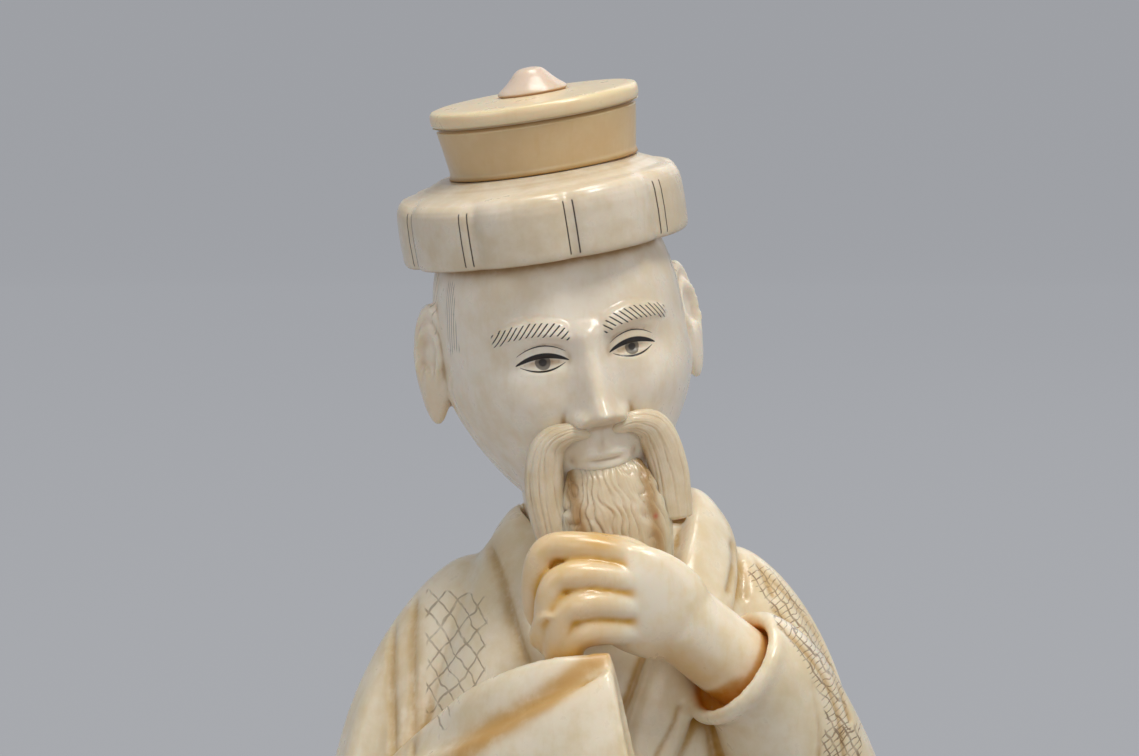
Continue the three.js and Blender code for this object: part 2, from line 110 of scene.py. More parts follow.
# A tube along a curve through stations of x, y, z, half width and half thickness. The width lies along side,
# each end is domed over a share of the length, and carve is the change of radius as a share.
def limb(stations, side, around, along, domes, carve=None):
    stations = np.asarray(stations, float)

    def place(turn, fall):
        share = (1 - np.cos(np.pi * fall)) / 2
        centre, half = curveAt(stations[:, :3], share), curveAt(stations[:, 3:5], share)
        ahead = unit(curveAt(stations[:, :3], share + 1e-4) - curveAt(stations[:, :3], share - 1e-4))
        wide = unit(np.asarray(side, float) - ahead * (ahead @ np.asarray(side, float))[..., None])
        thick = np.cross(ahead, wide)
        start = np.sqrt(1 - np.maximum(0, 1 - share / domes[0]) ** 2)
        end = np.sqrt(1 - np.maximum(0, 1 - (1 - share) / domes[1]) ** 2)
        angle = 2 * np.pi * turn
        size = np.minimum(start, end) * (1 + (carve(angle, share) if carve else 0))
        return (centre + wide * (half[..., 0] * size * np.cos(angle))[..., None]
                + thick * (half[..., 1] * size * np.sin(angle))[..., None])

    return closedGrid(around, along, place)


# A turned solid about the Z axis, from a profile of radius and height that starts and ends on the axis.
# Each stretch of the profile is cut into steps of about the given length.
def turned(profile, around, step):
    profile = np.asarray(profile, float)
    lengths = np.maximum(1, np.ceil(np.linalg.norm(np.diff(profile, axis=0), axis=1) / step)).astype(int)
    share = np.concatenate([[0], np.cumsum(lengths)])
    along = share[-1]
    rows = np.arange(along + 1)
    radius, height = (np.interp(rows, share, profile[:, i]) for i in (0, 1))

    def place(turn, fall):
        angle = 2 * np.pi * turn
        row = fall * along
        out, up = np.interp(row, rows, radius), np.interp(row, rows, height)
        return np.stack([out * np.sin(angle), -out * np.cos(angle), up], axis=-1)

    return closedGrid(around, along, place)


# Stations on the other side of the middle.
def mirrored(stations):
    return [[-row[0], *row[1:]] for row in stations]


# A shell turned and shifted by a 4 by 4 matrix.
def moved(shell, matrix):
    points, quads, caps = shell
    return points @ matrix[:3, :3].T + matrix[:3, 3], quads, caps


# A new object at the origin, linked to the scene.
def placed(name, data):
    item = bpy.data.objects.new(name, data)
    bpy.context.scene.collection.objects.link(item)
    return item


# One object from closed shells, in their own unit.
def objectFrom(name, shells):
    points, faces, start = [], [], 0
    for shellPoints, quads, caps in shells:
        points.append(shellPoints)
        faces += (quads + start).tolist() + (caps + start).tolist()
        start += len(shellPoints)
    mesh = bpy.data.meshes.new(name)
    mesh.from_pydata(np.vstack(points).tolist(), [], faces)
    mesh.update()
    return placed(name, mesh)


# A skin of even small faces about an object, as a modifier.
def addSkin(item, voxel):
    skin = item.modifiers.new("skin", "REMESH")
    skin.mode, skin.voxel_size, skin.adaptivity = "VOXEL", voxel, 0


# The union of closed shells as one skin of even small faces, with an optional cutter taken away.
def unionOf(name, shells, voxel, cutShells=()):
    rough = objectFrom(name + "Rough", shells)
    addSkin(rough, voxel)
    helpers = [rough]
    if cutShells:
        cutter = objectFrom(name + "Cutter", cutShells)
        addSkin(cutter, voxel)
        helpers.append(cutter)
        cut = rough.modifiers.new("cut", "BOOLEAN")
        cut.operation, cut.solver, cut.object = "DIFFERENCE", "MANIFOLD", cutter
        addSkin(rough, voxel)
    depsgraph = bpy.context.evaluated_depsgraph_get()
    mesh = bpy.data.meshes.new_from_object(rough.evaluated_get(depsgraph), depsgraph=depsgraph)
    for helper in helpers:
        old = helper.data
        bpy.data.objects.remove(helper)
        bpy.data.meshes.remove(old)
    mesh.name = name
    return placed(name, mesh)


# A field of a mesh's vertices or edges, one row each.
def rowsOf(items, field, width, kind):
    rows = np.empty(len(items) * width, dtype=kind)
    items.foreach_get(field, rows)
    return rows.reshape(-1, width)


def pointsOf(piece):
    return rowsOf(piece.data.vertices, "co", 3, float)


def edgesOf(piece):
    return rowsOf(piece.data.edges, "vertices", 2, np.int64)


def normalsOf(piece):
    return rowsOf(piece.data.vertex_normals, "vector", 3, np.float32).astype(float)


def putPoints(piece, points):
    piece.data.vertices.foreach_set("co", np.asarray(points, float).ravel())
    piece.data.update()


# Values at the vertices, averaged with their neighbours' a number of times.
def averaged(values, edges, times, weight=1.0):
    values = np.asarray(values, float)
    flat = values.reshape(len(values), -1)
    a, b = edges[:, 0], edges[:, 1]
    count = np.maximum(np.bincount(a, minlength=len(flat)) + np.bincount(b, minlength=len(flat)), 1)
    for _ in range(times):
        near = np.stack([np.bincount(a, column[b], len(flat)) + np.bincount(b, column[a], len(flat))
                         for column in flat.T], axis=1) / count[:, None]
        flat = flat + weight * (near - flat)
    return flat.reshape(values.shape)


# How far a point lies below the average of the skin about it, in millimetres: over 0 in a hollow.
def hollowOf(points, normals, edges, times):
    return np.einsum("ij,ij->i", averaged(points, edges, times) - points, normals)


def addValue(piece, name, values):
    layer = piece.data.attributes.new(name, "FLOAT", "POINT")
    layer.data.foreach_set("value", np.asarray(values, dtype=np.float32))


# Puts a piece worked in millimetres into metres, shades it smooth, gives it one material and lets it ride on
# the body.
def finishPiece(piece, nodes, material):
    putPoints(piece, pointsOf(piece) * millimetre)
    piece.data.polygons.foreach_set("use_smooth", np.ones(len(piece.data.polygons), dtype=bool))
    piece.data.materials.clear()
    piece.data.materials.append(material)
    piece.data.polygons.foreach_set("material_index", np.zeros(len(piece.data.polygons), dtype=np.int32))
    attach(piece, "root")
    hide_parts(*nodes)
    print(piece.name, "has", len(piece.data.polygons), "faces")


# The way the head is held
headPose = {"width": 20.4, "height": 28.0, "front": 11.6, "back": 12.4, "chinLevel": 36.0, "aside": -3.0,
            "turn": 10.0, "nod": 4.0, "lean": -9.0}
halfWidth, halfHeight = headPose["width"] / 2, headPose["height"] / 2
headPlace = (Matrix.Translation((headPose["aside"], 0, headPose["chinLevel"] + halfHeight))
             @ Matrix.Rotation(math.radians(headPose["lean"]), 4, "Y")
             @ Matrix.Rotation(math.radians(headPose["nod"]), 4, "X")
             @ Matrix.Rotation(math.radians(headPose["turn"]), 4, "Z"))
toWorld = np.array(headPlace)
toHead = np.array(headPlace.inverted())


def inHead(points):
    return points @ toHead[:3, :3].T + toHead[:3, 3]


# The skull: how square it is from the front and from above, how the jaw draws in, and the cut of the hair
skull = {"frontRoundness": 2.5, "planRoundness": 2.2, "jaw": 0.22, "hairRise": 0.16, "hairCut": 0.07,
         "hairTurns": 46}

# Face: places and sizes are shares of the half width and half height, and rises are millimetres forward. Each
# feature is a hill: its place across and up, its size each way and its rise.
face = {
    "voxel": 0.19,
    "grid": (420, 360),
    "features": {
        "browRidge": (0.36, 0.15, 0.34, 0.08, 0.5),
        "eyeSocket": (0.37, 0.01, 0.21, 0.085, -1.35),
        "cheek": (0.56, -0.22, 0.26, 0.16, 0.8),
        "mouthMound": (0, -0.585, 0.34, 0.19, 0.5),
        "chin": (0, -0.87, 0.26, 0.13, 0.8),
        "temple": (0.86, 0.12, 0.16, 0.13, -0.4),
        "underLip": (0, -0.735, 0.2, 0.045, -0.35),
        "foldOfCheek": (0.3, -0.4, 0.06, 0.09, -0.25),
        "noseTip": (0, -0.335, 0.13, 0.07, 0.55),
        "nostrilWing": (0.17, -0.365, 0.07, 0.05, 1.5),
        "wingGroove": (0.265, -0.36, 0.035, 0.06, -0.35),
        "philtrum": (0, -0.5, 0.035, 0.05, -0.16),
    },
    "nose": {"bridge": 0.12, "tip": -0.33, "base": -0.42, "bridgeRise": 0.9, "tipRise": 3.1,
             "width": (0.115, 0.15)},
    "brow": {"inner": 0.15, "outer": 0.7, "level": 0.165, "arch": 0.05, "halfHeight": 0.058, "rise": 0.42,
             "hairCut": 0.05, "hairTurns": (15.3, 15.4)},
    "eye": {"at": (0.37, -0.005), "halfWidth": 0.19, "halfHeight": 0.062, "ball": 0.95, "lid": 0.3},
    "mouth": {"level": -0.612, "halfWidth": 0.25, "lip": 0.34},
}


# The nose is a ridge that grows wider and higher down to its tip and falls away below it.
def noseRise(across, level):
    nose = face["nose"]
    down = np.clip((nose["bridge"] - level) / (nose["bridge"] - nose["tip"]), 0, 1)
    narrow, broad = nose["width"]
    width = narrow + (broad - narrow) * down
    height = nose["bridgeRise"] + (nose["tipRise"] - nose["bridgeRise"]) * down**1.25
    above = 1 - rise(level, nose["bridge"], nose["bridge"] + 0.12)
    return height * above * rise(level, nose["base"], nose["tip"]) * np.exp(-np.abs(across / width) ** 2.2)


# The brow as a raised slab along an arch, with fine hairs cut across it.
def browRise(across, level):
    brow = face["brow"]
    along = (across - brow["inner"]) / (brow["outer"] - brow["inner"])
    middle = brow["level"] + brow["arch"] * np.sin(np.pi * np.clip(along, 0, 1))
    slabHalf = brow["halfHeight"] * (1 - 0.45 * rise(along, 0.5, 1.1))
    ends = rise(along, -0.05, 0.07) * (1 - rise(along, 0.95, 1.08))
    slab = ends * (1 - rise(np.abs(level - middle) / slabHalf, 0.7, 1.15))
    turnsAcross, turnsUp = brow["hairTurns"]
    hairs = brow["hairCut"] * np.sin(2 * np.pi * (across * turnsAcross - level * turnsUp))
    return slab * (brow["rise"] + hairs)


# The eyeball between two lids: the upper lid is a roll above the opening, and a crease lies above it.
def eyeRise(across, level):
    eye = face["eye"]
    x = (across - eye["at"][0]) / eye["halfWidth"]
    z = (level - eye["at"][1]) / eye["halfHeight"]
    inside = np.clip(1 - np.abs(x) ** 2.2, 0, 1)
    ball = eye["ball"] * np.exp(-np.abs(x) ** 2.4 - np.abs(z * 0.62) ** 2.4)
    upper, lower = 0.62 * inside, -0.5 * inside
    lids = eye["lid"] * (bell(z, upper + 0.3, 0.34) + 0.6 * bell(z, lower - 0.25, 0.3)) * inside**0.4
    crease = -0.3 * bell(z, upper + 1.25, 0.22) * inside**0.5
    return ball + lids + crease


# Two soft lips above and below a bowed line, a narrow seam between them and a dimple at each corner.
def mouthRise(across, level):
    mouth = face["mouth"]
    x = across / mouth["halfWidth"]
    inside = np.clip(1 - np.abs(x) ** 2.4, 0, 1)
    line = mouth["level"] + 0.018 * x**2
    upper = bell(level, line + 0.034 * inside + 0.004, 0.026) * (1 - 0.25 * bell(x, 0, 0.16))
    lower = 1.15 * bell(level, line - 0.04 * inside - 0.004, 0.03)
    seam = -0.75 * bell(level, line, 0.011)
    corner = -0.25 * bell(x, 1.02, 0.14) * bell(level, line, 0.03)
    return mouth["lip"] * (upper + lower + seam) * inside**0.6 + corner


# The head is a superellipse from the front and from above, with smaller faces in front, drawn in at the chin
# and full in the lower face. The face's relief is added forwards and the hair's outwards.
def headPoint(turn, fall):
    swing = 2 * turn - 1
    angle = np.pi * swing * (0.52 + 0.48 * swing * swing)
    tilt = np.pi * (fall + 0.09 * np.sin(2 * np.pi * fall)) ** 0.92
    polar = superellipse(tilt, skull["frontRoundness"])
    level, ring = polar * np.cos(tilt), np.abs(polar * np.sin(tilt))
    around = superellipse(angle, skull["planRoundness"])
    jaw = 1 - skull["jaw"] * rise(-level, 0.1, 0.95)
    across = ring * around * np.sin(angle) * jaw
    ahead = np.cos(angle)
    depth = np.where(ahead > 0, headPose["front"], headPose["back"])
    facing = rise(ahead, 0, 0.45) * rise(ring, 0, 0.3)
    lowerFace = rise(-level, 0.1, 0.6) * rise(ahead, 0, 0.6)
    reach = ring + (ring**0.45 - ring) * lowerFace
    x = np.abs(across)
    hairline = rise(np.abs(angle), 1.15, 1.3) * rise(level, -0.3 + 0.25 * (np.abs(angle) < 1.6), -0.16)
    wave = np.sin(skull["hairTurns"] * angle + 2.2 * np.sin(5 * level + 3 * angle) + 9 * level)
    hair = hairline * (skull["hairRise"] + skull["hairCut"] * wave)
    relief = sum(hill(x, level, feature) for feature in face["features"].values())
    relief = relief + noseRise(x, level) + browRise(x, level) + eyeRise(x, level) + mouthRise(x, level)
    grown = 1 + hair / halfWidth
    return np.stack([across * halfWidth * grown, -reach * around * ahead * depth * grown - relief * facing,
                     level * halfHeight], axis=-1)


ear = {"height": 10.4, "width": 4.4, "thick": 2.2, "level": -0.1, "stand": 0.6, "back": 1.6, "flare": 34.0,
       "lean": 8.0, "bowl": 0.6, "rim": 0.4, "ridge": 0.4, "grid": (96, 64)}


# One ear: an oval disc, narrower towards its lobe, with a rim, an inner ridge and a bowl on its outer side.
def earShell(sideways):
    def place(turn, fall):
        angle = 2 * np.pi * turn
        reach = np.sin(np.pi * fall)
        high = np.sin(angle)
        oval = 1 - 0.28 * rise(-high, -0.1, 1)
        outer = fall < 0.5
        upper = rise(high, -0.85, 0.15)
        bowl = (ear["bowl"] * (1 - rise(reach, 0.35, 0.72)) + ear["rim"] * bell(reach, 0.74, 0.08)) * upper
        ridge = ear["ridge"] * bell(reach, 0.55, 0.1) * rise(np.cos(angle), -0.2, 0.6) * upper
        flap = ear["ridge"] * bell(reach, 0.55, 0.16) * bell(angleFrom(angle, np.pi), 0, 0.4)
        relief = np.where(outer, -bowl + ridge + flap, 0)
        points = np.stack([
            (np.cos(np.pi * fall) + relief) * ear["thick"] / 2,
            reach * oval * np.cos(angle) * ear["width"] / 2,
            reach * high * ear["height"] / 2,
        ], axis=-1)
        flare = Matrix.Rotation(math.radians(-ear["flare"]), 3, "Z")
        spin = np.array(flare @ Matrix.Rotation(math.radians(ear["lean"]), 3, "X"))
        points = points @ spin.T + [halfWidth + ear["stand"], ear["back"], ear["level"]]
        return points * [sideways, 1, 1]

    return closedGrid(*ear["grid"], place)


neck = {"radius": 5.2, "depth": 4.8, "back": 1.4}


# The neck is a cylinder that starts inside the head.
def neckShell():
    foot, top, radius = -halfHeight - neck["depth"], -halfHeight / 2, neck["radius"]
    points, quads, caps = turned([(0, foot), (radius, foot), (radius, top), (0, top)], 96, 0.5)
    return points + [0, neck["back"], 0], quads, caps


# Moustache and beard: x, y, z, half width and half thickness along each path, as shares and then millimetres
moustache = {"halfWidth": 1.65, "halfThick": 1.2, "hang": 0.6, "strands": 12, "cut": 0.1, "wander": 0.35}
beard = {"halfWidth": 4.6, "halfThick": 1.9, "hang": 7.0, "locks": 24, "cut": 0.095, "wander": 1.7,
         "speck": [4.5, 36.5], "speckRadius": 0.2}

wide, thick = moustache["halfWidth"], moustache["halfThick"]
moustachePath = [
    [0.09, 1.02, -0.45, 0.6, 0.5],
    [0.27, 1.0, -0.42, 0.9, 0.9],
    [0.44, 0.93, -0.5, thick, wide * 0.9],
    [0.51, 0.9, -0.74, thick, wide],
    [0.49, 0.92, -1 - moustache["hang"] / halfHeight, thick * 0.85, wide * 0.95],
]
moustachePath = [[x * halfWidth, -y * headPose["front"], z * halfHeight, a, b]
                 for x, y, z, a, b in moustachePath]

beardPath = [
    [0, 0.86, 5.2, 0.62, 0.35],
    [0, 0.925, 3.6, 0.8, 0.7],
    [0, 0.935, 1.4, 0.98, 1.0],
    [0.1, 0.96, -0.2 * beard["hang"], 1.0, 0.9],
    [0.3, 0.975, -0.63 * beard["hang"], 0.85, 0.7],
    [0.5, 0.98, -beard["hang"], 0.6, 0.5],
]
beardPath = [[x, -y * headPose["front"], z - halfHeight, a * beard["halfWidth"], b * beard["halfThick"]]
             for x, y, z, a, b in beardPath]


# Strands follow the path and wander: narrow valleys lie between rounded hairs of uneven width, and finer ones
# run among them at another pace.
def strandCuts(count, depth, wander, seed):
    def carve(angle, share):
        uneven = 0.16 * np.sin(3 * angle + seed) + 0.07 * np.sin(8 * angle + 2 * seed)
        drift = wander * (np.sin(6.3 * share + 2.3 * angle + seed)
                          + 0.5 * np.sin(15 * share - 4 * angle + 2 * seed)
                          + 0.3 * np.sin(37 * share + 9 * angle + 3 * seed))
        coarse = np.abs(np.sin(count * (angle + uneven) / 2 + drift))
        fine = np.abs(np.sin(count * 1.3 * (angle - uneven) + 1.6 * drift + 9 * share))
        return rise(share, 0.02, 0.12) * depth * (coarse**0.6 - 1 + 0.3 * (fine**0.8 - 1))
    return carve


# Half of the moustache and the beard are limbs cut into strands.
def moustacheShell(path, seed):
    cuts = strandCuts(moustache["strands"], moustache["cut"], moustache["wander"], seed)
    return limb(path, (0, 1, 0), 140, 120, (0.2, 0.02), cuts)


def beardShell():
    cuts = strandCuts(beard["locks"], beard["cut"], beard["wander"], 0.7)
    return limb(beardPath, (1, 0, 0), 320, 170, (0.06, 0.12), cuts)


# Hat: a folded band, a crown with a disc on it, and a finial
band = {"standOff": 1.7, "foot": 8.2, "height": 5.5, "edge": 1.0, "folds": 9, "fold": 0.5, "ledgeRise": 1.1,
        "sag": 0.18, "swell": 0.12}
crown = {"footRadius": 7.8, "topRadius": 8.35, "height": 4.1, "aside": 0.75}
disc = {"overhang": 0.3, "height": 1.5, "edge": 0.7, "dome": 0.25, "groove": 0.2, "grooveHeight": 0.3}
finial = {"radius": 2.9, "height": 2.1}
seatGap = 0.3
bandBack = (headPose["back"] - headPose["front"]) / 2
bandTop = band["foot"] + band["height"]
ledge = bandTop + band["ledgeRise"]
crownFoot = ledge + 0.08
crownTop = ledge + seatGap + crown["height"]
discTop = crownTop + disc["height"]


# The band is a cushion of equal folds round the head, soft at its edges, with a ledge that slopes up to the
# crown: a turned profile, pinched and lowered at each valley by powers of a cosine and stretched to the head.
def bandShell():
    outer = halfWidth + band["standOff"]
    halfDepth = (headPose["front"] + headPose["back"]) / 2 + band["standOff"]
    foot, top, edge = band["foot"], bandTop, band["edge"]
    profile = [
        (0, foot + 0.6), (0.86, foot + 0.35), (0.95, foot), (0.985, foot + 0.05), (0.998, foot + 0.25),
        (1.004, foot + 0.6), (1.008, foot + 2.4), (1.004, top - edge * 1.5), (0.996, top - edge * 0.9),
        (0.98, top - edge * 0.42), (0.955, top - edge * 0.1), (0.92, top + 0.05), (0.86, top + 0.2),
        ((crown["footRadius"] + 0.4) / outer, ledge), (0, ledge),
    ]
    points, quads, caps = turned([(r * outer, z) for r, z in profile], 680, 0.22)
    x, y, z = points.T
    out, angle = np.hypot(x, y), np.arctan2(x, -y)
    flat = rise(out, outer * 0.84, outer * 0.99)
    wave = np.abs(np.cos(band["folds"] * angle / 2))
    fold = band["fold"] * (0.45 * wave**40 + 0.55 * wave**5) * flat
    stretch = rise(out / outer, 0.75, 0.95)
    reach = outer + (halfDepth - outer) * stretch
    swell = band["swell"] * np.sin(angle * 2 + 0.6) * flat * rise(z, bandTop - 1.5, bandTop)
    sag = band["sag"] * wave**8 * flat * rise(z, bandTop - 1.4, bandTop)
    shaped = [x / outer * (outer - fold), y / outer * (reach - fold) + stretch * bandBack, z - sag + swell]
    return np.stack(shaped, axis=-1), quads, caps


# The crown is a turned cone that widens up to a groove, with the round-edged, slightly uneven disc on it.
def crownShell():
    rim, edge = crown["topRadius"] + disc["overhang"], disc["edge"]
    inGroove = crown["topRadius"] - disc["groove"]
    middle, dome = crownTop + disc["height"] / 2, discTop + disc["dome"]
    foot, grooveFoot = crown["footRadius"], crownTop - disc["grooveHeight"]
    profile = [
        (0, crownFoot), (foot + 0.12, crownFoot), (foot + 0.05, crownFoot + 0.25), (foot, crownFoot + 0.5),
        (crown["topRadius"], grooveFoot), (inGroove, crownTop - disc["grooveHeight"] * 0.6),
        (inGroove, crownTop - 0.04), (rim, crownTop + 0.1),
    ]
    for step in np.linspace(-1, 1, 15):  # the rounded rim of the disc
        roundOut = (1 - abs(step) ** 2.6) ** (1 / 2.6)
        up = middle + step * (disc["height"] / 2 - 0.02)
        profile.append((rim - edge * 0.75 + edge * 0.85 * roundOut, up))
    profile += [(finial["radius"] + 1.6, discTop + disc["dome"] * 0.6), (finial["radius"] + 0.25, dome),
                (finial["radius"] - 0.1, dome - 0.12), (0, dome - 0.12)]
    points, quads, caps = turned(profile, 360, 0.16)
    angle = np.arctan2(points[:, 0], -points[:, 1])
    uneven = 0.035 * np.sin(3 * angle + 0.8) + 0.02 * np.sin(7 * angle + points[:, 2])
    out = 1 + uneven / crown["topRadius"]
    return points * np.stack([out, out, np.ones_like(out)], axis=-1) + [crown["aside"], 0, 0], quads, caps


# The finial is a turned cone with a hollow slope and a blunt tip.
def finialShell():
    foot, radius = discTop + disc["dome"] + 0.02, finial["radius"]
    cone = [(0.97, 0), (1, 0.08), (0.93, 0.2), (0.77, 0.37), (0.58, 0.62), (0.44, 0.83), (0.32, 0.94),
            (0.14, 0.99), (0, 1)]
    slope = curveAt(cone, np.linspace(0, 1, 50)) * [radius, finial["height"]] + [0, foot]
    profile = np.vstack([[(0, foot - 0.1), (radius * 0.93, foot - 0.1)], slope[:-1], [(0, slope[-1, 1])]])
    points, quads, caps = turned(profile, 200, 0.1)
    return points + [crown["aside"], 0, 0], quads, caps


# The robe: its body, sleeves, crossing sleeve and lapels as stations for limb, in millimetres. Each lapel is
# keyed by how far its width leans sideways.
robe = {
    "voxel": 0.335,
    "torso": [[0, 0, -5, 16.5, 12.6], [0, 0, 6, 16.2, 12.4], [0, 0.1, 15, 15.4, 11.6],
              [0.2, 0.5, 23, 13.8, 10.4], [0.3, 1.2, 29, 11.8, 8.6], [0.3, 1.8, 32.6, 10, 7],
              [0.3, 2.1, 34.9, 7.6, 5.8]],
    "sleeves": {
        -1: [[-6.6, 2.4, 31, 3.4, 4], [-10.8, 2.4, 26.2, 5.2, 5.4], [-14, 2, 19.8, 6.2, 6.2],
             [-15.8, 1.4, 12.5, 6.8, 7], [-16.6, 0.8, 4, 7.4, 7.8], [-16.8, 0.6, -4, 7.6, 8]],
        1: [[7, 2.6, 31.6, 3.6, 4.2], [11.4, 2.4, 26.8, 5.2, 5.6], [14.1, 1.8, 20.4, 6.1, 6.6],
            [15.5, 1, 12.5, 6.6, 7.4], [16, 0.4, 4, 7.2, 8], [16.2, 0.2, -4, 7.4, 8.2]],
    },
    "crossing": [[-16, -2, 5.5, 8, 6.5], [-13.5, -9.4, 7.9, 10.2, 6], [-8.6, -16, 10.5, 12.2, 4.9],
                 [-2.2, -19.9, 13.4, 12.8, 4.3], [3.4, -20.3, 14.6, 12.6, 4.2]],
    "mouth": [[-2.8, -19.8, 13.8, 4.8, 1.9], [1, -20.2, 14, 8.4, 2.8], [5.4, -20.5, 15, 10.8, 3.3]],
    "lapels": {
        0.6: [[3.2, 9.4, 34.6, 1.9, 1.2], [-3.6, 8.4, 34.4, 1.9, 1.2], [-7.2, 1.8, 34.2, 2.1, 1.2],
              [-6.3, -3.8, 31.6, 2.2, 1.1], [-4.7, -7.9, 27.2, 2.2, 1.1], [-2.4, -10, 22, 2, 1],
              [0.2, -10.9, 16.4, 1.8, 0.9]],
        -0.6: [[-2.6, 9.4, 34.5, 1.9, 1.2], [4.8, 8.2, 34.9, 2, 1.2], [8.8, 2, 35.4, 2.4, 1.2],
               [9.2, -3, 32.9, 2.8, 1.2], [8.2, -7, 28.8, 2.9, 1.2], [6.2, -10, 23.6, 2.6, 1.2],
               [3.4, -11.6, 16.6, 2.3, 1.1], [0, -12.2, 8, 2, 1], [-3.5, -12.4, -3, 1.8, 1]],
    },
}
wristRadius, cuffInner, cuffOuter, cuffDepth, socketDepth = 3.3, 4.0, 4.9, 2.4, 2.2
grooveDepth = 1.2  # of the groove between the wrist and the cuff
cuffDrop = np.array([-0.12, -0.3, -0.36])  # the cuff hangs a little lower than the wrist in it
wristAim = unit(np.array([-0.72, -0.4, 0.57]))
cuffMouth = np.array([11, -12.2, 24.6])


# A point on the wrist's axis, from the cuff's mouth.
def onWrist(distance):
    return list(cuffMouth + wristAim * distance)


# Engraved lines on the robe's front: the path in X and Z, the half width and the depth in millimetres.
engraved = {
    "innerSleeveSeam": ([(-17.1, 29.5), (-17.3, 24), (-17.0, 16), (-16.6, 2)], 0.3, 0.3),
    "outerSleeveSeam": ([(-15.3, 29.8), (-15.5, 24), (-15.2, 16), (-14.9, 8)], 0.26, 0.24),
    "rightLapelCrease": ([(-9.3, 35.6), (-9.4, 33.7), (-8.1, 31), (-6.5, 25.8), (-4.4, 21)], 0.34, 0.35),
    "collarCrease": ([(11.1, 33.4), (11.2, 32.2), (10.6, 29.9)], 0.3, 0.25),
    "foldByCollar": ([(11.6, 32.6), (12.0, 31), (11.9, 29)], 0.3, 0.3),
    "foldByStrip": ([(12.9, 32.4), (13.7, 30.7), (14.5, 29)], 0.28, 0.26),
    "stripEdge": ([(13.4, 31.2), (15.6, 28.9), (17.6, 26.4), (19.1, 23.6), (20.3, 20)], 0.2, 0.16),
    "stripBorder": ([(14.4, 28), (16.4, 26), (18, 23.8), (19.2, 20.8), (19.8, 17)], 0.22, 0.18),
    "forearmLine": ([(17, 23.4), (17.4, 21), (17.7, 18.7), (17.4, 13)], 0.22, 0.2),
    "chestLine": ([(6.4, 21), (5.9, 19.6), (4.6, 17.2), (3.2, 13)], 0.28, 0.25),
    "panelFold": ([(8.2, 24), (8.8, 20), (9.3, 15), (9.2, 8)], 0.4, 0.3),
}


# How near each point lies to a smooth path in the front view: a bell curve of its nearest distance.
def nearPath(points, path, width):
    path = curveAt(path, np.linspace(0, 1, 40))
    flat = points[:, [0, 2]]
    close = np.all((flat > path.min(axis=0) - 4 * width) & (flat < path.max(axis=0) + 4 * width), axis=1)
    start, step = path[:-1], np.diff(path, axis=0)
    away = flat[close][:, None, :] - start
    share = np.clip(np.einsum("ijk,jk->ij", away, step) / np.einsum("jk,jk->j", step, step), 0, 1)
    near = np.zeros(len(points))
    near[close] = bell(np.linalg.norm(away - share[..., None] * step, axis=-1).min(axis=1), 0, width)
    return near


# How near each point lies to an engraved line and how deep it is cut there.
def engravingAt(points, normals):
    front = rise(-normals[:, 1], 0.05, 0.35) * rise(-points[:, 1], -3, 1) * rise(points[:, 1], -15, -13.8)
    marks = [nearPath(points, path, width) * front for path, width, depth in engraved.values()]
    cuts = [mark * depth for mark, (path, width, depth) in zip(marks, engraved.values())]
    return np.max(marks, axis=0), np.max(cuts, axis=0)


# The body is square in plan at its foot and rounder upwards, with shallow folds low on its back.
def torsoCarve(angle, share):
    square = superellipse(angle, 2.8) - 1
    low = 1 - rise(share, 0.45, 0.8)
    backFolds = 0.024 * np.cos(9 * angle + 1.2 * share) * rise(np.sin(angle), 0.1, 0.6)
    return square * (1 - 0.7 * share) + low * backFolds


# A sleeve has one valley towards the body in front, and cosine folds behind and on its outer side.
def sleeveCarve(sideways):
    def carve(angle, share):
        front = angleFrom(angle, -np.pi / 2 - sideways * 0.3)
        hang = rise(share, 0.12, 0.4)
        backFolds = 0.04 * np.cos(7 * angle + 1.5 * share) * rise(np.sin(angle), 0, 0.5)
        outerFolds = 0.018 * np.cos(11 * angle - 2.5 * share) * rise(sideways * np.cos(angle), 0.2, 0.8)
        return hang * (-0.1 * bell(front, 0, 0.2) + backFolds + outerFolds)
    return carve


# A flat band: thick near its two edges and a little hollow between them.
def bandEdge(angle, share):
    return 0.1 * np.abs(np.cos(2 * angle + np.pi / 2)) ** 0.7


# The crossing sleeve has a long valley that nears its upper edge towards the mouth, and faint drapery.
def crossingCarve(angle, share):
    middle = 0.16 + 0.4 * (1 - rise(share, 0.65, 1))
    along = rise(share, 0.15, 0.55) * (1 - 0.5 * rise(share, 0.85, 1))
    valley = -0.19 * bell(angleFrom(angle, 0), middle, 0.23) * along
    drape = 0.012 * np.cos(6 * angle + 5 * share) * rise(share, 0.1, 0.5) * rise(np.sin(angle), -0.2, 0.5)
    return valley + drape


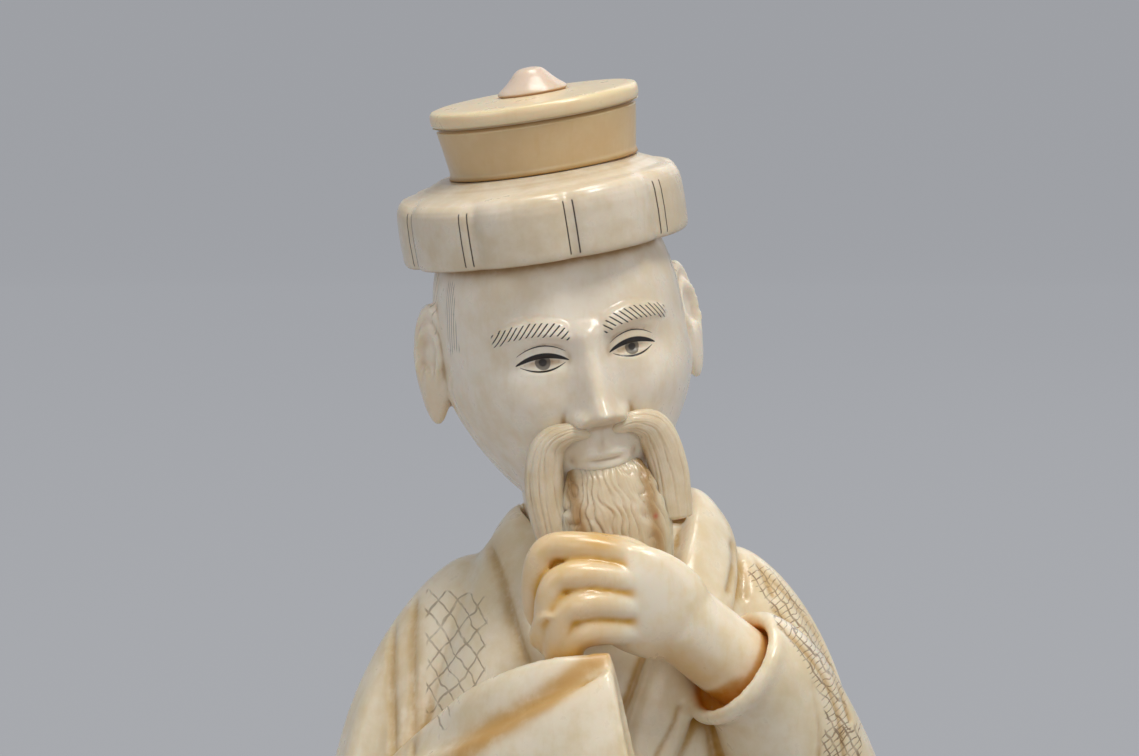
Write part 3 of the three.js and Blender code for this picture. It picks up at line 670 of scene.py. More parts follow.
# Hand: a wrist, a palm, four fingers bent down over the beard, and a thumb.
hand = {
    "voxel": 0.16,
    "fingerRadius": 1.22,
    "wrist": [[7.3, -14.2, 27.7, 3.3, 2.8], [5.2, -15.4, 29.3, 3.6, 2.3]],
    "web": [[3, -15.9, 30.8, 3.0, 1.1], [-1.2, -16.7, 31.3, 3.3, 0.75], [-3.4, -16.7, 31.1, 3.4, 0.65],
            [-4.0, -15.5, 28.6, 2.8, 0.7], [-3.4, -14.4, 26.2, 1.9, 0.7]],
    "palm": [[8.2, -13.8, 27, 2.6, 2], [5.4, -15.3, 29, 4.1, 2.3], [2.8, -16.2, 30.5, 4.4, 1.8],
             [0.4, -16.4, 31.1, 3.8, 1.2], [-1.8, -16.7, 31.2, 3.1, 0.7]],
    "digits": [
        [[4.4, -14.8, 32.4], [1.6, -16.4, 34], [-1.8, -17, 34.7], [-4.4, -16.8, 34.4], [-5.4, -16, 31.2],
         [-4.9, -14.6, 27.6]],
        [[4.8, -15.4, 31], [2, -17, 32], [-1.6, -18, 32.5], [-3.7, -18, 31.8], [-4.4, -17.4, 28.4],
         [-4.1, -15.4, 25.8]],
        [[4.8, -15.4, 29.4], [2, -17.1, 30], [-1.3, -18.4, 30.2], [-3, -18.4, 29.3], [-3.5, -17.5, 26.5],
         [-3.2, -15.2, 24.6]],
        [[4.6, -15, 27.8], [1.8, -16.7, 28], [-0.9, -18, 28], [-2.2, -18, 27.1], [-2.7, -17, 24.9],
         [-2.3, -15, 23.4]],
        [[6, -13.6, 31], [2.8, -13.9, 33.6], [-0.6, -14.4, 34.4], [-3.6, -15, 34.2]],
    ],
}


# Each finger swells a little at its two knuckles.
def knuckles(angle, share):
    return 0.05 * (bell(share, 0.42, 0.07) + bell(share, 0.68, 0.06)) - 0.03 * bell(share, 0.55, 0.07)


# The hand's limbs, grown by a gap: wrist, palm, web and then each digit, whose radius falls towards its tip.
def handShells(gap):
    side = (0.45, -0.1, 0.9)
    grown = np.array([0, 0, 0, gap, gap])
    wristEnd = [*onWrist(seatGap - gap - cuffDepth - socketDepth), wristRadius, wristRadius]
    shells = [limb(np.array([wristEnd, [*onWrist(0.5), wristRadius, wristRadius], *hand["wrist"]]) + grown,
                   side, 90, 60, (0.02, 0.2)),
              limb(np.array(hand["palm"]) + grown, side, 90, 60, (0.2, 0.35)),
              limb(np.array(hand["web"]) + grown, (0.35, 0.1, 0.93), 90, 50, (0.2, 0.2))]
    for points in hand["digits"]:
        radii = [hand["fingerRadius"] * (1.1 - 0.06 * i) + gap for i in range(len(points))]
        stations = [[*point, radius, radius] for point, radius in zip(points, radii)]
        shells.append(limb(stations, (0, 1, 0), 48, 70, (0.15, 0.12), knuckles))
    return shells


# The robe's limbs, and the rolled rim of the cuff.
def robeShells():
    shells = [limb(robe["torso"], (1, 0, 0), 200, 90, (0.02, 0.06), torsoCarve)]
    for sideways, stations in robe["sleeves"].items():
        shells.append(limb(stations, (1, 0, 0), 150, 90, (0.12, 0.02), sleeveCarve(sideways)))
    shells.append(limb(robe["crossing"], (0, 0, 1), 180, 90, (0.15, 0.015), crossingCarve))
    forearm = [[17.4, -1, 5, 7.5, 7.5], [17.6, -4.5, 10.5, 6.8, 6.8], [16, -8.2, 17, 5.9, 5.9],
               [*onWrist(-3.4), cuffOuter + 0.3, cuffOuter + 0.3],
               [*onWrist(0.2), cuffOuter + 0.1, cuffOuter + 0.1]]
    shells.append(limb(forearm, (0.3, -0.9, 0.2), 120, 120, (0.2, 0.03)))
    shells.append(ringShell(onWrist(0) + cuffDrop * 0.8, wristAim, 4.66, (0.64, 0.78)))
    for lean, stations in robe["lapels"].items():
        shells.append(limb(stations, (lean, 0, 0.8), 80, 160, (0.05, 0.05), bandEdge))
    return shells


# What is hollowed out of the robe: room for head, neck and hand, the cuff's groove and the sleeve's mouth.
def hollowShells():
    seat = closedGrid(160, 120, lambda turn, fall: headPoint(turn, fall) * (1 + seatGap / 12))
    points, quads, caps = neckShell()
    stem = points * [1.07, 1.07, 1] + [0, -0.1, -seatGap], quads, caps
    groove = [[*(onWrist(distance) + cuffDrop), cuffInner, cuffInner] for distance in (-grooveDepth, 0, 2)]
    cuff = limb(groove, (0.3, -0.9, 0.2), 90, 30, (0.05, 0.02))
    mouth = limb(robe["mouth"], (0, 0, 1), 90, 40, (0.3, 0.02))
    return [moved(seat, toWorld), moved(stem, toWorld), cuff, mouth, *handShells(seatGap)[1:]]


# A ring of round section about an axis: it is swept twice, once round the axis and once round the section.
def ringShell(centre, axis, radius, section, around=140, across=36):
    first = unit(np.cross(axis, [0, 0, 1.0]))
    second = np.cross(axis, first)
    turn, tuck = np.meshgrid(np.arange(around) / around, np.arange(across) / across, indexing="ij")
    out = radius + section[0] * np.cos(2 * np.pi * tuck)
    points = (np.asarray(centre) + (out * np.cos(2 * np.pi * turn))[..., None] * first
              + (out * np.sin(2 * np.pi * turn))[..., None] * second
              + (section[1] * np.sin(2 * np.pi * tuck))[..., None] * axis).reshape(-1, 3)
    row, column = np.meshgrid(np.arange(around), np.arange(across), indexing="ij")
    ahead, beside = (row + 1) % around, (column + 1) % across
    here, there = row * across, ahead * across
    quads = np.stack([here + column, there + column, there + beside, here + beside], axis=-1)
    return points, quads.reshape(-1, 4), np.empty((0, 3), dtype=int)


# A box between two corners.
def boxShell(low, high):
    corners = np.stack(np.meshgrid(*zip(low, high), indexing="ij"), axis=-1).reshape(-1, 3).astype(float)
    faces = np.array([[0, 1, 3, 2], [4, 6, 7, 5], [0, 4, 5, 1], [2, 3, 7, 6], [0, 2, 6, 4], [1, 5, 7, 3]])
    return corners, faces, np.empty((0, 3), dtype=int)


# A hex colour as linear light.
def linear(hexColour):
    parts = [int(hexColour[i:i + 2], 16) / 255 for i in (1, 3, 5)]
    return tuple(c / 12.92 if c <= 0.04045 else ((c + 0.055) / 1.055) ** 2.4 for c in parts) + (1.0,)


# A varying value in a shader. Arithmetic on it adds Math nodes, one for each operation.
class Signal:
    def __init__(self, socket):
        self.socket = socket
        self.tree = socket.id_data

    def __add__(self, other):
        return mathOf("ADD", self, other)

    def __sub__(self, other):
        return mathOf("SUBTRACT", self, other)

    def __rsub__(self, other):
        return mathOf("SUBTRACT", other, self)

    def __mul__(self, other):
        return mathOf("MULTIPLY", self, other)

    def __truediv__(self, other):
        return mathOf("DIVIDE", self, other)

    def __abs__(self):
        return mathOf("ABSOLUTE", self)


# A new node: an input is linked where a signal is given, and set where a value is.
def newNode(tree, kind, inputs=None, **settings):
    node = tree.nodes.new(kind)
    for key, value in settings.items():
        setattr(node, key, value)
    for key, value in (inputs or {}).items():
        if isinstance(value, Signal):
            tree.links.new(value.socket, node.inputs[key])
        else:
            node.inputs[key].default_value = value
    return node


# One output of a new node, as a signal.
def signalOf(tree, output, kind, inputs=None, **settings):
    return Signal(newNode(tree, kind, inputs, **settings).outputs[output])


# One Math node over signals and numbers.
def mathOf(operation, *values):
    tree = next(value.tree for value in values if isinstance(value, Signal))
    return signalOf(tree, 0, "ShaderNodeMath", dict(enumerate(values)), operation=operation)


# A smooth step of a signal between two values, from start to end.
def stepOf(value, low, high, start=0.0, end=1.0):
    return signalOf(value.tree, 0, "ShaderNodeMapRange", {
        "Value": value, "From Min": low, "From Max": high, "To Min": start, "To Max": end},
        interpolation_type="SMOOTHSTEP")


def mixOf(tree, factor, a, b):
    return signalOf(tree, 2, "ShaderNodeMix", {0: factor, 6: a, 7: b}, data_type="RGBA")


# The highest of several masks.
def mostOf(masks):
    whole = masks[0]
    for mask in masks[1:]:
        whole = mathOf("MAXIMUM", whole, mask)
    return whole


def noiseOf(tree, place, scale, detail=2.0, roughness=0.5, output="Fac"):
    return signalOf(tree, output, "ShaderNodeTexNoise", {
        "Vector": place, "Scale": scale, "Detail": detail, "Roughness": roughness})


def attributeOf(tree, name):
    return signalOf(tree, "Fac", "ShaderNodeAttribute", attribute_name=name)


def objectPlace(tree):
    return signalOf(tree, "Object", "ShaderNodeTexCoord")


def axesOf(vector):
    return [Signal(output) for output in newNode(vector.tree, "ShaderNodeSeparateXYZ", {0: vector}).outputs]


def deliver(signal, socket):
    signal.tree.links.new(signal.socket, socket)


# An empty node group, with its inputs as signals in order and its output sockets.
def newGroup(name, inputs, outputs):
    tree = bpy.data.node_groups.new(name, "ShaderNodeTree")
    for label, kind in inputs.items():
        tree.interface.new_socket(label, in_out="INPUT", socket_type="NodeSocket" + kind)
    for label, kind in outputs.items():
        tree.interface.new_socket(label, in_out="OUTPUT", socket_type="NodeSocket" + kind)
    sockets = tree.nodes.new("NodeGroupInput").outputs
    return tree, [Signal(sockets[label]) for label in inputs], tree.nodes.new("NodeGroupOutput").inputs


grainLook = {"cloudScale": 95.0, "mottleScale": 520.0, "fibreScale": 1900.0, "fibreStretch": (1.0, 1.0, 0.12),
             "streak": 0.22, "roughness": 0.22, "mottledRoughness": 0.14, "stainedRoughness": 0.16}


# Ivory grain: soft clouds between a pale and a warm tone, faint upright fibres, and brown stain and painted
# shade where told.
def makeGrain():
    tree, (pale, warm, deep, stainAndShade, clouding), wanted = newGroup("ivoryGrain", {
        "Pale": "Color", "Warm": "Color", "Deep": "Color", "Stain And Shade": "Float", "Clouding": "Float"}, {
        "Colour": "Color", "Roughness": "Float", "Height": "Float"})
    look = grainLook
    place = objectPlace(tree)
    upright = signalOf(tree, 0, "ShaderNodeMapping", {"Vector": place, "Scale": look["fibreStretch"]})
    clouds = noiseOf(tree, place, look["cloudScale"], 3.0)
    mottle = noiseOf(tree, place, look["mottleScale"], 5.0, 0.6)
    fibres = noiseOf(tree, upright, look["fibreScale"], 3.0)
    warmth = stepOf(mottle * 0.45 + clouds * 0.6, 0.42, 0.66)
    tone = mixOf(tree, warmth * clouding, pale, warm)
    tone = mixOf(tree, stepOf(fibres, 0.52, 0.75, 0.0, look["streak"]), tone, warm)
    patches = stepOf(mottle, 0.25, 0.6, -0.38, 0.12)
    stainedAndShaded = signalOf(tree, 0, "ShaderNodeClamp", {0: stainAndShade * (patches * clouding + 1.0)})
    tone = mixOf(tree, stepOf(stainedAndShaded, 0.0, 0.55), tone, mixOf(tree, 0.55, warm, deep))
    deliver(mixOf(tree, stepOf(stainedAndShaded, 0.35, 1.0), tone, deep), wanted["Colour"])
    rough = mottle * look["mottledRoughness"] + look["roughness"]
    deliver(stainedAndShaded * look["stainedRoughness"] + rough, wanted["Roughness"])
    deliver(fibres * 0.35 + mottle * 0.65, wanted["Height"])
    return tree


# An inked arc: within its half length, the distance to a shallow bow is compared with a tapering half width.
def makeArc():
    labels = ("Across", "Up", "Centre Across", "Centre Up", "Half Length", "Bend", "Half Width")
    tree, given, wanted = newGroup("inkArc", dict.fromkeys(labels, "Float"), {"Mask": "Float"})
    across, up, centreX, centreZ, halfLength, bend, halfThick = given
    along = (across - centreX) / halfLength
    left = mathOf("MAXIMUM", 1.0 - along * along, 0.0)
    away = abs(up - (left * bend + centreZ))
    inside = stepOf(away - mathOf("POWER", left, 0.6) * halfThick, -0.03, 0.035, 1.0, 0.0)
    deliver(inside * stepOf(left, 0.0, 0.05), wanted["Mask"])
    return tree


# How far a place lies from the middle of its line, where lines repeat with each whole number of phase.
def awayFromLine(phase, spacing):
    return abs(mathOf("FRACT", phase) - 0.5) * spacing


# Inked hair: slanting lines at a spacing, kept within a bowed band whose edges are ragged.
def makeHatch():
    labels = ("Across", "Up", "Centre Across", "Centre Up", "Half Length", "Half Height", "Bend", "Spacing",
              "Slant", "Half Width")
    tree, given, wanted = newGroup("inkHatch", dict.fromkeys(labels, "Float"), {"Mask": "Float"})
    across, up, centreX, centreZ, halfLength, halfTall, bend, spacing, slant, halfThick = given
    along = (across - centreX) / halfLength
    left = 1.0 - along * along
    up = up - (mathOf("MAXIMUM", left, 0.0) * bend + centreZ)
    phase = (up * slant + across) / spacing
    ragged = signalOf(tree, "Value", "ShaderNodeTexWhiteNoise", {"W": mathOf("FLOOR", phase)},
                      noise_dimensions="1D")
    reach = ragged * 0.35 + 0.72
    line = stepOf(awayFromLine(phase, spacing) - halfThick, -0.025, 0.03, 1.0, 0.0)
    within = stepOf(abs(up / halfTall) - reach, -0.12, 0.02, 1.0, 0.0)
    deliver(line * within * stepOf(left, 0.0, 0.12), wanted["Mask"])
    return tree


grain, inkArc, inkHatch = makeGrain(), makeArc(), makeHatch()


# The mask of an arc or hatch group, from its inputs in order.
def inkOf(group, *values):
    return signalOf(values[0].tree, 0, "ShaderNodeGroup", dict(enumerate(values)), node_tree=group)


# Each piece's pale, warm and stained tones; on the hand and robe the stained tone also paints shade
tones = {
    "head": ("#F1E5D2", "#E3CFAE", "#9C6E34"),
    "beard": ("#E8D9BF", "#D6BF97", "#A87A3C"),
    "hat": ("#E4D7C2", "#D3BF9C", "#A47A42"),
    "crown": ("#EAD7B2", "#DDBE86", "#A6742F"),
    "finial": ("#DCC8B6", "#CFB699", "#A67A50"),
    "hand": ("#F4E7D0", "#E8D09C", "#BF8428"),
    "robe": ("#EEE1C8", "#DFCAA0", "#B3842F"),
}
inkColours = {"face": "#1E150F", "band": "#3A271A", "robe": "#6E4E2C"}
polish = {"Subsurface Radius": (1.0, 0.6, 0.35), "Subsurface Scale": 0.0014, "Coat Weight": 0.25,
          "Coat Roughness": 0.16, "IOR": 1.5}
relief = {"Strength": 0.35, "Distance": 0.00009}
inkDepth = 1.4


# A polished ivory material. draw gives a mask of ink, and glow tints the skin where the glow attribute says.
def ivoryMaterial(name, toneName, draw=None, weight=0.4, clouding=0.75, glow=None):
    material = bpy.data.materials.new(name)
    material.use_nodes = True
    tree = material.node_tree
    shader = tree.nodes["Principled BSDF"]
    pale, warm, deep = (linear(tone) for tone in tones[toneName])
    group = newNode(tree, "ShaderNodeGroup", {
        "Pale": pale, "Warm": warm, "Deep": deep, "Stain And Shade": attributeOf(tree, "stainAndShade"), "Clouding": clouding},
        node_tree=grain)
    colour, roughness, height = (Signal(output) for output in group.outputs)
    if glow:
        colour = mixOf(tree, attributeOf(tree, "glow"), colour, linear(glow))
    if draw:
        inkName, drawInk = draw
        ink = drawInk(tree)
        colour = mixOf(tree, ink, colour, linear(inkColours[inkName]))
        height = height - ink * inkDepth
    bump = signalOf(tree, 0, "ShaderNodeBump", {**relief, "Height": height})
    for label, signal in (("Base Color", colour), ("Roughness", roughness), ("Normal", bump)):
        deliver(signal, shader.inputs[label])
    for label, value in {"Subsurface Weight": weight, **polish}.items():
        shader.inputs[label].default_value = value
    return material


# Millimetres in the head's own frame: across towards the figure's left, back and up.
def headAxes(tree):
    return axesOf(signalOf(tree, 0, "ShaderNodeMapping", {
        "Vector": objectPlace(tree), "Location": tuple(headPlace.translation * millimetre),
        "Rotation": tuple(headPlace.to_euler("XYZ")), "Scale": (millimetre,) * 3}, vector_type="TEXTURE"))


# The values of the arc and hatch groups in millimetres
faceInk = {
    "arcs": [(3.75, 0.02, 2.1, 0.62, 0.24), (3.75, -0.1, 1.8, -0.5, 0.07), (3.75, 0.75, 1.95, 0.72, 0.05)],
    "iris": (3.72, 0.1, 0.62),
    "browHatch": (4.35, 2.15, 3.0, 0.62, 0.72, 0.46, 0.9, 0.06),
    "hairRadius": 10.0,
    "sideHatch": (12.0, 4.0, 1.0, 3.4, 0.0, 0.4, 0.2, 0.045),
    "backHatch": (24.6, 3.4, 9.0, 5.2, 0.0, 0.55, 0.3, 0.045),
    "sideStrength": 0.6,
    "backStrength": 0.4,
    "earsFrom": 10.45,
}


# Eyes, brows and hair, the same on both sides: arcs, a disc for each iris, and hatches. The hair is placed by
# an angle times a radius, and stops short of the ears.
def drawFace(tree):
    x, y, z = headAxes(tree)
    across = abs(x)
    masks = [inkOf(inkArc, across, z, *arc) for arc in faceInk["arcs"]]
    masks.append(inkOf(inkHatch, across, z, *faceInk["browHatch"]))
    irisX, irisZ, irisRadius = faceInk["iris"]
    offX, offZ = across - irisX, z - irisZ
    far = mathOf("SQRT", offX * offX + offZ * offZ)
    pupil = stepOf(far, irisRadius * 0.4, irisRadius * 0.62, 0.97, 0.72)
    masks.append(stepOf(far, irisRadius - 0.05, irisRadius + 0.03, 1.0, 0.0) * pupil)
    inFront = mostOf(masks) * stepOf(y, -3.0, -1.0, 1.0, 0.0)
    around = mathOf("ARCTAN2", across, y * -1.0) * faceInk["hairRadius"]
    side = inkOf(inkHatch, around, z, *faceInk["sideHatch"]) * faceInk["sideStrength"]
    offEars = stepOf(across, faceInk["earsFrom"], faceInk["earsFrom"] + 0.15, faceInk["backStrength"], 0.0)
    return mostOf([inFront, side, inkOf(inkHatch, around, z, *faceInk["backHatch"]) * offEars])


bandInk = {"halfSpacing": 0.34, "halfWidth": 0.045, "low": 0.35, "high": 4.75, "outside": 10.0}


# Each valley between the band's folds holds two engraved lines, a little in from the band's edges.
def drawBand(tree):
    x, y, z = headAxes(tree)
    ahead = (y - bandBack) * -1.0
    step = 2 * math.pi / band["folds"]
    cell = mathOf("ARCTAN2", x, ahead) / step
    offset = abs((cell - mathOf("ROUND", cell)) * (step * (halfWidth + band["standOff"])))
    line = stepOf(abs(offset - bandInk["halfSpacing"]) - bandInk["halfWidth"], -0.03, 0.04, 1.0, 0.0)
    up = z - band["foot"]
    low = stepOf(up, bandInk["low"] - 0.05, bandInk["low"] + 0.1)
    high = stepOf(up, bandInk["high"] - 0.1, bandInk["high"] + 0.05, 1.0, 0.0)
    out = mathOf("SQRT", x * x + ahead * ahead)
    return line * (low * high) * stepOf(out, bandInk["outside"], bandInk["outside"] + 0.6)


robeInk = {
    "lattice": {"low": (-14.0, 20.0), "high": (-8.6, 30.0), "slopes": (0.8, -0.8), "spacing": 1.6,
                "halfWidth": 0.09, "strength": 0.55},
    "hatch": {"low": (18.4, 13.5), "high": (22, 20.2), "slopes": (0.5, -1.2), "spacing": 0.75,
              "halfWidth": 0.07, "strength": 0.8},
    "border": {"low": (11, 15), "high": (24, 32), "slopes": (0.75, -1.6), "spacing": 0.95,
               "halfWidth": 0.07, "strength": 0.75},
}
borderPath = [(13.4, 30.8), (15.3, 28.4), (17.2, 25.6), (18.7, 22.4), (19.4, 19.5)]
borderWidth = 1.15
robeWander = {"scale": 420.0, "reach": 1.1}
cornerFade = 0.3


# Lines of two slopes that fade in between two corners in X and Z.
def patternOf(x, z, pattern):
    spacing, half = pattern["spacing"], pattern["halfWidth"]
    lines = [awayFromLine((z * slope + x) / spacing, spacing) for slope in pattern["slopes"]]
    inside = mostOf([stepOf(away, half - 0.04, half + 0.05, 1.0, 0.0) for away in lines])
    for value, low, high in zip((x, z), pattern["low"], pattern["high"]):
        inside = inside * stepOf(value, low, low + cornerFade)
        inside = inside * stepOf(value, high - cornerFade, high, 1.0, 0.0)
    return inside


# A lattice on the left of the picture, hatching on the other sleeve and a border of short cuts along it, all
# shaken by a noise so that they look cut by hand.
def drawRobe(tree):
    place = objectPlace(tree)
    scaled = signalOf(tree, 0, "ShaderNodeMapping", {"Vector": place, "Scale": (1 / millimetre,) * 3})
    wander = noiseOf(tree, place, robeWander["scale"], output="Color")
    x, y, z = axesOf(signalOf(tree, 0, "ShaderNodeVectorMath", {
        0: wander, 1: (robeWander["reach"],) * 3, 2: scaled}, operation="MULTIPLY_ADD"))
    front = stepOf(y, 0.0, 3.0, 1.0, 0.0) * stepOf(y, -14.6, -13.8)
    masks = {name: patternOf(x, z, pattern) for name, pattern in robeInk.items()}
    masks["border"] = masks["border"] * stepOf(attributeOf(tree, "border"), 0.4, 0.55)
    mask = mostOf([masks[name] * pattern["strength"] for name, pattern in robeInk.items()]) * front
    return mask * stepOf(noiseOf(tree, place, 900.0), 0.3, 0.6, 0.45, 1.0)


# Creases and broad hollows: how often the skin is averaged, between which depths in faces, and how strong
stainKinds = [(6, 0.05, 0.45, 0.6), (45, 0.35, 2.2, 0.55)]


# A piece is stained where it lies below the average of the skin about it, and darkened where extra says,
# which on the hand and robe includes painted shade.
def stainAndShadePiece(piece, faceSize, extra, strength, points=None):
    points = pointsOf(piece) if points is None else points
    edges, normals = edgesOf(piece), normalsOf(piece)
    stainAndShade = strength * sum(share * rise(hollowOf(points, normals, edges, times) / faceSize, low, high)
                           for times, low, high, share in stainKinds)
    addValue(piece, "stainAndShade", np.clip(averaged(np.maximum(stainAndShade, extra), edges, 1, 0.5), 0, 1))


# Face with ears and neck
headSkin = unionOf("face", [closedGrid(*face["grid"], headPoint), earShell(1), earShell(-1), neckShell()],
                   face["voxel"])
local = averaged(pointsOf(headSkin), edgesOf(headSkin), 2, 0.5)
putPoints(headSkin, local)
underBand = 0.75 * bell(local[:, 2], band["foot"] - 0.1, 0.55)
stainAndShadePiece(headSkin, face["voxel"], underBand, 0.7 - 0.45 * rise(np.abs(local[:, 0]), 10.2, 10.9))
putPoints(headSkin, local @ toWorld[:3, :3].T + toWorld[:3, 3])
finishPiece(headSkin, ["head"], ivoryMaterial("polishedFace", "head", ("face", drawFace)))

# Beard and moustache, with one red speck on the beard
beardPiece = objectFrom("beardAndMoustache", [moved(shell, toWorld) for shell in (
    beardShell(), moustacheShell(moustachePath, 0.4), moustacheShell(mirrored(moustachePath), 1.9))])
local = inHead(pointsOf(beardPiece))
besideBeard = bell(np.abs(local[:, 0]), 3.1, 0.6) * rise(-local[:, 1], 8.5, 10) * rise(-local[:, 2], 7, 9)
stainAndShadePiece(beardPiece, 0.2, 0.6 * besideBeard, 0.8)
toSpeck = np.linalg.norm(pointsOf(beardPiece)[:, [0, 2]] - beard["speck"], axis=1)
addValue(beardPiece, "glow", 0.75 * bell(toSpeck, 0, beard["speckRadius"]) * rise(-local[:, 1], 8, 9))
finishPiece(beardPiece, ["head"], ivoryMaterial("combedBeard", "beard", glow="#BE4A34"))

# Hat band, its ledge ringed with faint stain
bandPiece = objectFrom("hatBand", [moved(bandShell(), toWorld)])
local = inHead(pointsOf(bandPiece))
out, up = np.hypot(local[:, 0], local[:, 1]), local[:, 2]
rings = 0.14 + 0.08 * np.sin(out * 9) + 0.06 * np.sin(out * 21)
ledgeStain = rings * rise(up, bandTop + 0.1, bandTop + 0.6)
footStain = 0.7 * (1 - rise(up, band["foot"] - 0.1, band["foot"] + 0.25))
stainAndShadePiece(bandPiece, 0.16, np.maximum(ledgeStain, footStain), 0.35)
finishPiece(bandPiece, ["head"], ivoryMaterial("foldedBand", "hat", ("band", drawBand)))

# Hat crown, dark in the seam at its foot and in the groove under its disc
crownPiece = objectFrom("hatCrown", [moved(crownShell(), toWorld)])
up = inHead(pointsOf(crownPiece))[:, 2]
seams = 0.8 * bell(up, crownFoot, 0.3) + 0.95 * bell(up, crownTop - 0.06, 0.09)
seams = np.maximum(seams, 0.3 * (1 - rise(up, crownTop - 0.1, crownTop + 0.15)))
stainAndShadePiece(crownPiece, 0.16, np.clip(seams, 0, 1), 0.5)
crownIvory = ivoryMaterial("amberCrown", "crown", weight=0.55, clouding=0.2)
finishPiece(crownPiece, ["hat_crown"], crownIvory)

# Finial, stained where it meets the disc
finialPiece = objectFrom("hatFinial", [moved(finialShell(), toWorld)])
up = inHead(pointsOf(finialPiece))[:, 2]
stainAndShadePiece(finialPiece, 0.1, 0.8 * bell(up, discTop + disc["dome"], 0.18), 0.4)
finishPiece(finialPiece, ["hat_finial"], ivoryMaterial("pinkFinial", "finial", weight=0.5))

# Left hand, with painted golden glow and shade between and under the fingers, and painted brown shade where
# it enters the cuff
paintedGlowAndShadeShares = {"underFingers": 0.8, "overIndex": 0.4, "betweenFingers": 1.3, "underWrist": 0.55,
              "overFingers": 0.42}
handPiece = unionOf("leftHand", handShells(0), hand["voxel"])
edges = edgesOf(handPiece)
putPoints(handPiece, averaged(pointsOf(handPiece), edges, 13, 0.5))
points, normals = pointsOf(handPiece), normalsOf(handPiece)
x, z = points[:, 0], points[:, 2]
along = (points - cuffMouth) @ wristAim
facesDown = rise(-normals[:, 2], 0.0, 0.75)
underFingers = bell(x, -1.4, 2.6) * bell(z, 25.2, 1.8)
# Painted glow and shade: a golden tint under, over and between the fingers, on their left side and under the
# wrist, where shade falls and light passes through
paintedGlowAndShadeParts = {
    "underFingers": underFingers,
    "overIndex": bell(x, 0.1, 1.7) * bell(z, 35.2, 0.8),
    "betweenFingers": rise(hollowOf(points, normals, edges, 30) / hand["voxel"], 0.05, 0.9),
    "underWrist": facesDown * rise(x, 1.5, 6) * rise(along, 1.2, 2.6),
    "overFingers": 1 - rise(x, -0.5, 3.2),
}
paintedGlowAndShade = sum(share * paintedGlowAndShadeParts[name] for name, share in paintedGlowAndShadeShares.items())
addValue(handPiece, "glow", averaged(np.clip(paintedGlowAndShade, 0, 0.9), edges, 3))
# Painted shade: brown where the wrist enters the cuff and on its underside near it, and under the fingers
cuffShadeOnWrist = np.maximum(0.7 * (1 - rise(along, 0.0, 0.9)), facesDown * (1 - rise(along, 0.5, 1.9)))
stainAndShadePiece(handPiece, hand["voxel"], np.maximum(cuffShadeOnWrist, 0.4 * underFingers), 0.9)
finishPiece(handPiece, ["left_hand"], ivoryMaterial("smoothHand", "hand", glow="#D6A136"))

# Robe, cut flat at its foot, with painted brown shade and an orange glow in the cuff, and painted brown shade
# in the sleeve's valley and beside the seams
valleyPath = [(-0.1, 26.3), (-4, 23.4), (-9.2, 19.9), (-12.5, 16.8)]
shadedSeams = ["innerSleeveSeam", "outerSleeveSeam", "rightLapelCrease", "foldByCollar"]
belowFoot = boxShell((-30, -32, -8), (30, 24, 0))
robePiece = unionOf("robeCloth", robeShells(), robe["voxel"], [*hollowShells(), belowFoot])
edges = edgesOf(robePiece)
points = averaged(pointsOf(robePiece), edges, 2, 0.5)
points[:, 2] = np.where(points[:, 2] < 0.25, 0, points[:, 2])
putPoints(robePiece, points)
normals = normalsOf(robePiece)
marks, depths = engravingAt(points, normals)
putPoints(robePiece, points - normals * depths[:, None])
addValue(robePiece, "border", nearPath(points, borderPath, borderWidth))
ahead = -points[:, 1]
fromMouth = points - cuffMouth - cuffDrop
along = fromMouth @ wristAim
fromAxis = np.linalg.norm(fromMouth - along[:, None] * wristAim, axis=1)
# Painted shade and glow inside the cuff's groove: brown in the stain and orange in the glow
inCuff = (1 - rise(fromAxis, cuffInner, cuffInner + 0.35)) * rise(along, -3, -2) * (1 - rise(along, 0.2, 0.8))
# Painted shade: brown along the sleeve's valley, with a little orange glow
valley = 0.62 * nearPath(points, valleyPath, 0.95) * rise(ahead, 13, 15)
# Painted shade: a broad brown band beside the engraved seams
seams = np.max([nearPath(points, engraved[name][0], 1.1) for name in shadedSeams], axis=0)
seams = seams * rise(ahead, -2, 2) * (ahead < 14)
addValue(robePiece, "glow", averaged(np.maximum(inCuff, 0.25 * valley), edges, 3))
cutLinesAndShade = np.max([0.5 * marks, 0.3 * inCuff, valley, 0.3 * seams], axis=0)
stainAndShadePiece(robePiece, robe["voxel"], cutLinesAndShade, 0.9, points)
robeIvory = ivoryMaterial("robeIvory", "robe", ("robe", drawRobe), glow="#E0962A")
finishPiece(robePiece, ["robe"], robeIvory)

# The stage in metres: a round floor, a quarter bend and a wall, turned about the upright axis
stage = {"flat": 1.1, "curve": 0.35, "height": 1.6, "spokes": 96}
paperLook = {"Base Color": linear("#303133"), "Roughness": 0.9, "Emission Color": linear("#A0A2A7"),
             "Emission Strength": 0.92}
bend = np.linspace(0, np.pi / 2, 24)[1:]
spokes, edge = stage["spokes"], stage["flat"] + stage["curve"]
outs = np.concatenate([np.linspace(0.02, stage["flat"], 12), stage["flat"] + stage["curve"] * np.sin(bend),
                       np.full(6, edge)])
ups = np.concatenate([np.zeros(12), stage["curve"] * (1 - np.cos(bend)),
                      np.linspace(stage["curve"] + 0.1, stage["height"], 6)])
angles = np.arange(spokes) / spokes * 2 * np.pi
sweepPoints = np.stack([np.outer(outs, np.cos(angles)), np.outer(outs, np.sin(angles)),
                        np.repeat(ups[:, None], spokes, 1)], -1)
rows, columns = np.meshgrid(np.arange(len(outs) - 1), np.arange(spokes), indexing="ij")
here, beside = rows * spokes + columns, rows * spokes + (columns + 1) % spokes
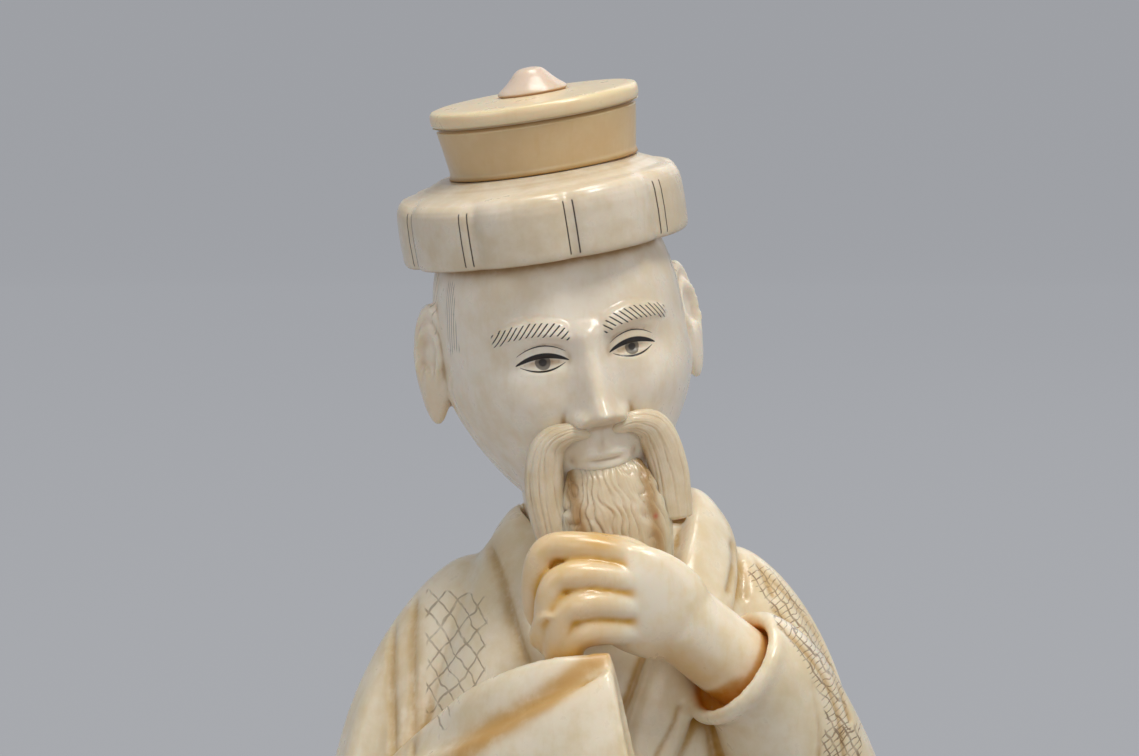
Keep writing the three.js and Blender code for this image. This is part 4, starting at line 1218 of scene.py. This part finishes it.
sweepFaces = np.stack([here, here + spokes, beside + spokes, beside], -1).reshape(-1, 4).tolist()
sweepMesh = bpy.data.meshes.new("studioSweep")
sweepMesh.from_pydata(sweepPoints.reshape(-1, 3).tolist(), [], sweepFaces + [list(range(spokes))])
sweepMesh.polygons.foreach_set("use_smooth", np.ones(len(sweepMesh.polygons), dtype=bool))
sweep = placed("studioSweep", sweepMesh)
paper = bpy.data.materials.new("greyPaper")
paper.use_nodes = True
for label, value in paperLook.items():
    paper.node_tree.nodes["Principled BSDF"].inputs[label].default_value = value
sweepMesh.materials.append(paper)


# A round lamp that looks at the middle of the figure: place and size in metres, power in watts and colour.
def areaLight(name, place, size, power, colour):
    data = bpy.data.lights.new(name, "AREA")
    data.shape, data.size, data.energy, data.color = "DISK", size, power, colour
    lamp = placed(name, data)
    lamp.location = place
    lamp.rotation_euler = (Vector((0, 0, 0.04)) - Vector(place)).to_track_quat("-Z", "Y").to_euler()


areaLight("keyLight", (0.22, -0.27, 0.62), 0.22, 2.2, (1.0, 0.98, 0.93))
areaLight("frontFill", (0.0, -0.75, 0.25), 0.5, 0.65, (1.0, 0.99, 0.96))
areaLight("leftFill", (-0.55, -0.35, 0.35), 0.4, 0.5, (0.97, 0.98, 1.0))
areaLight("rightFill", (0.6, -0.15, 0.3), 0.4, 0.25, (1.0, 0.99, 0.96))
areaLight("topLight", (0.0, 0.05, 0.75), 0.36, 2.3, (1.0, 0.99, 0.96))
areaLight("backLight", (0.25, 0.6, 0.4), 0.5, 0.4, (1.0, 0.98, 0.95))
world = bpy.data.worlds.new("softRoom")
world.use_nodes = True
world.node_tree.nodes["Background"].inputs["Color"].default_value = (0.62, 0.66, 0.72, 1)
world.node_tree.nodes["Background"].inputs["Strength"].default_value = 0.12
bpy.context.scene.world = world
bpy.context.scene.view_settings.view_transform = "Standard"

# Camera: the photograph shows 12 picture points to a millimetre at the plane through the upright axis
camera = {"target": (-2.5, 0.0, 47.0), "distance": 380.0, "elevation": 4.0, "pointsPerMillimetre": 12.0,
          "imageWidth": 1139, "sensor": 36}
lensData = bpy.data.cameras.new("photoCamera")
lensData.sensor_width = camera["sensor"]
imageAcross = camera["imageWidth"] / camera["pointsPerMillimetre"]
lensData.lens = camera["sensor"] * camera["distance"] / imageAcross
lensData.clip_start, lensData.clip_end = 0.01, 10
viewer = placed("photoCamera", lensData)
tilt = math.radians(camera["elevation"])
towards = Vector((0, math.cos(tilt), -math.sin(tilt)))
viewer.location = (Vector(camera["target"]) - towards * camera["distance"]) * millimetre
viewer.rotation_euler = towards.to_track_quat("-Z", "Y").to_euler()
bpy.context.scene.camera = viewer
print("camera and lights are set")
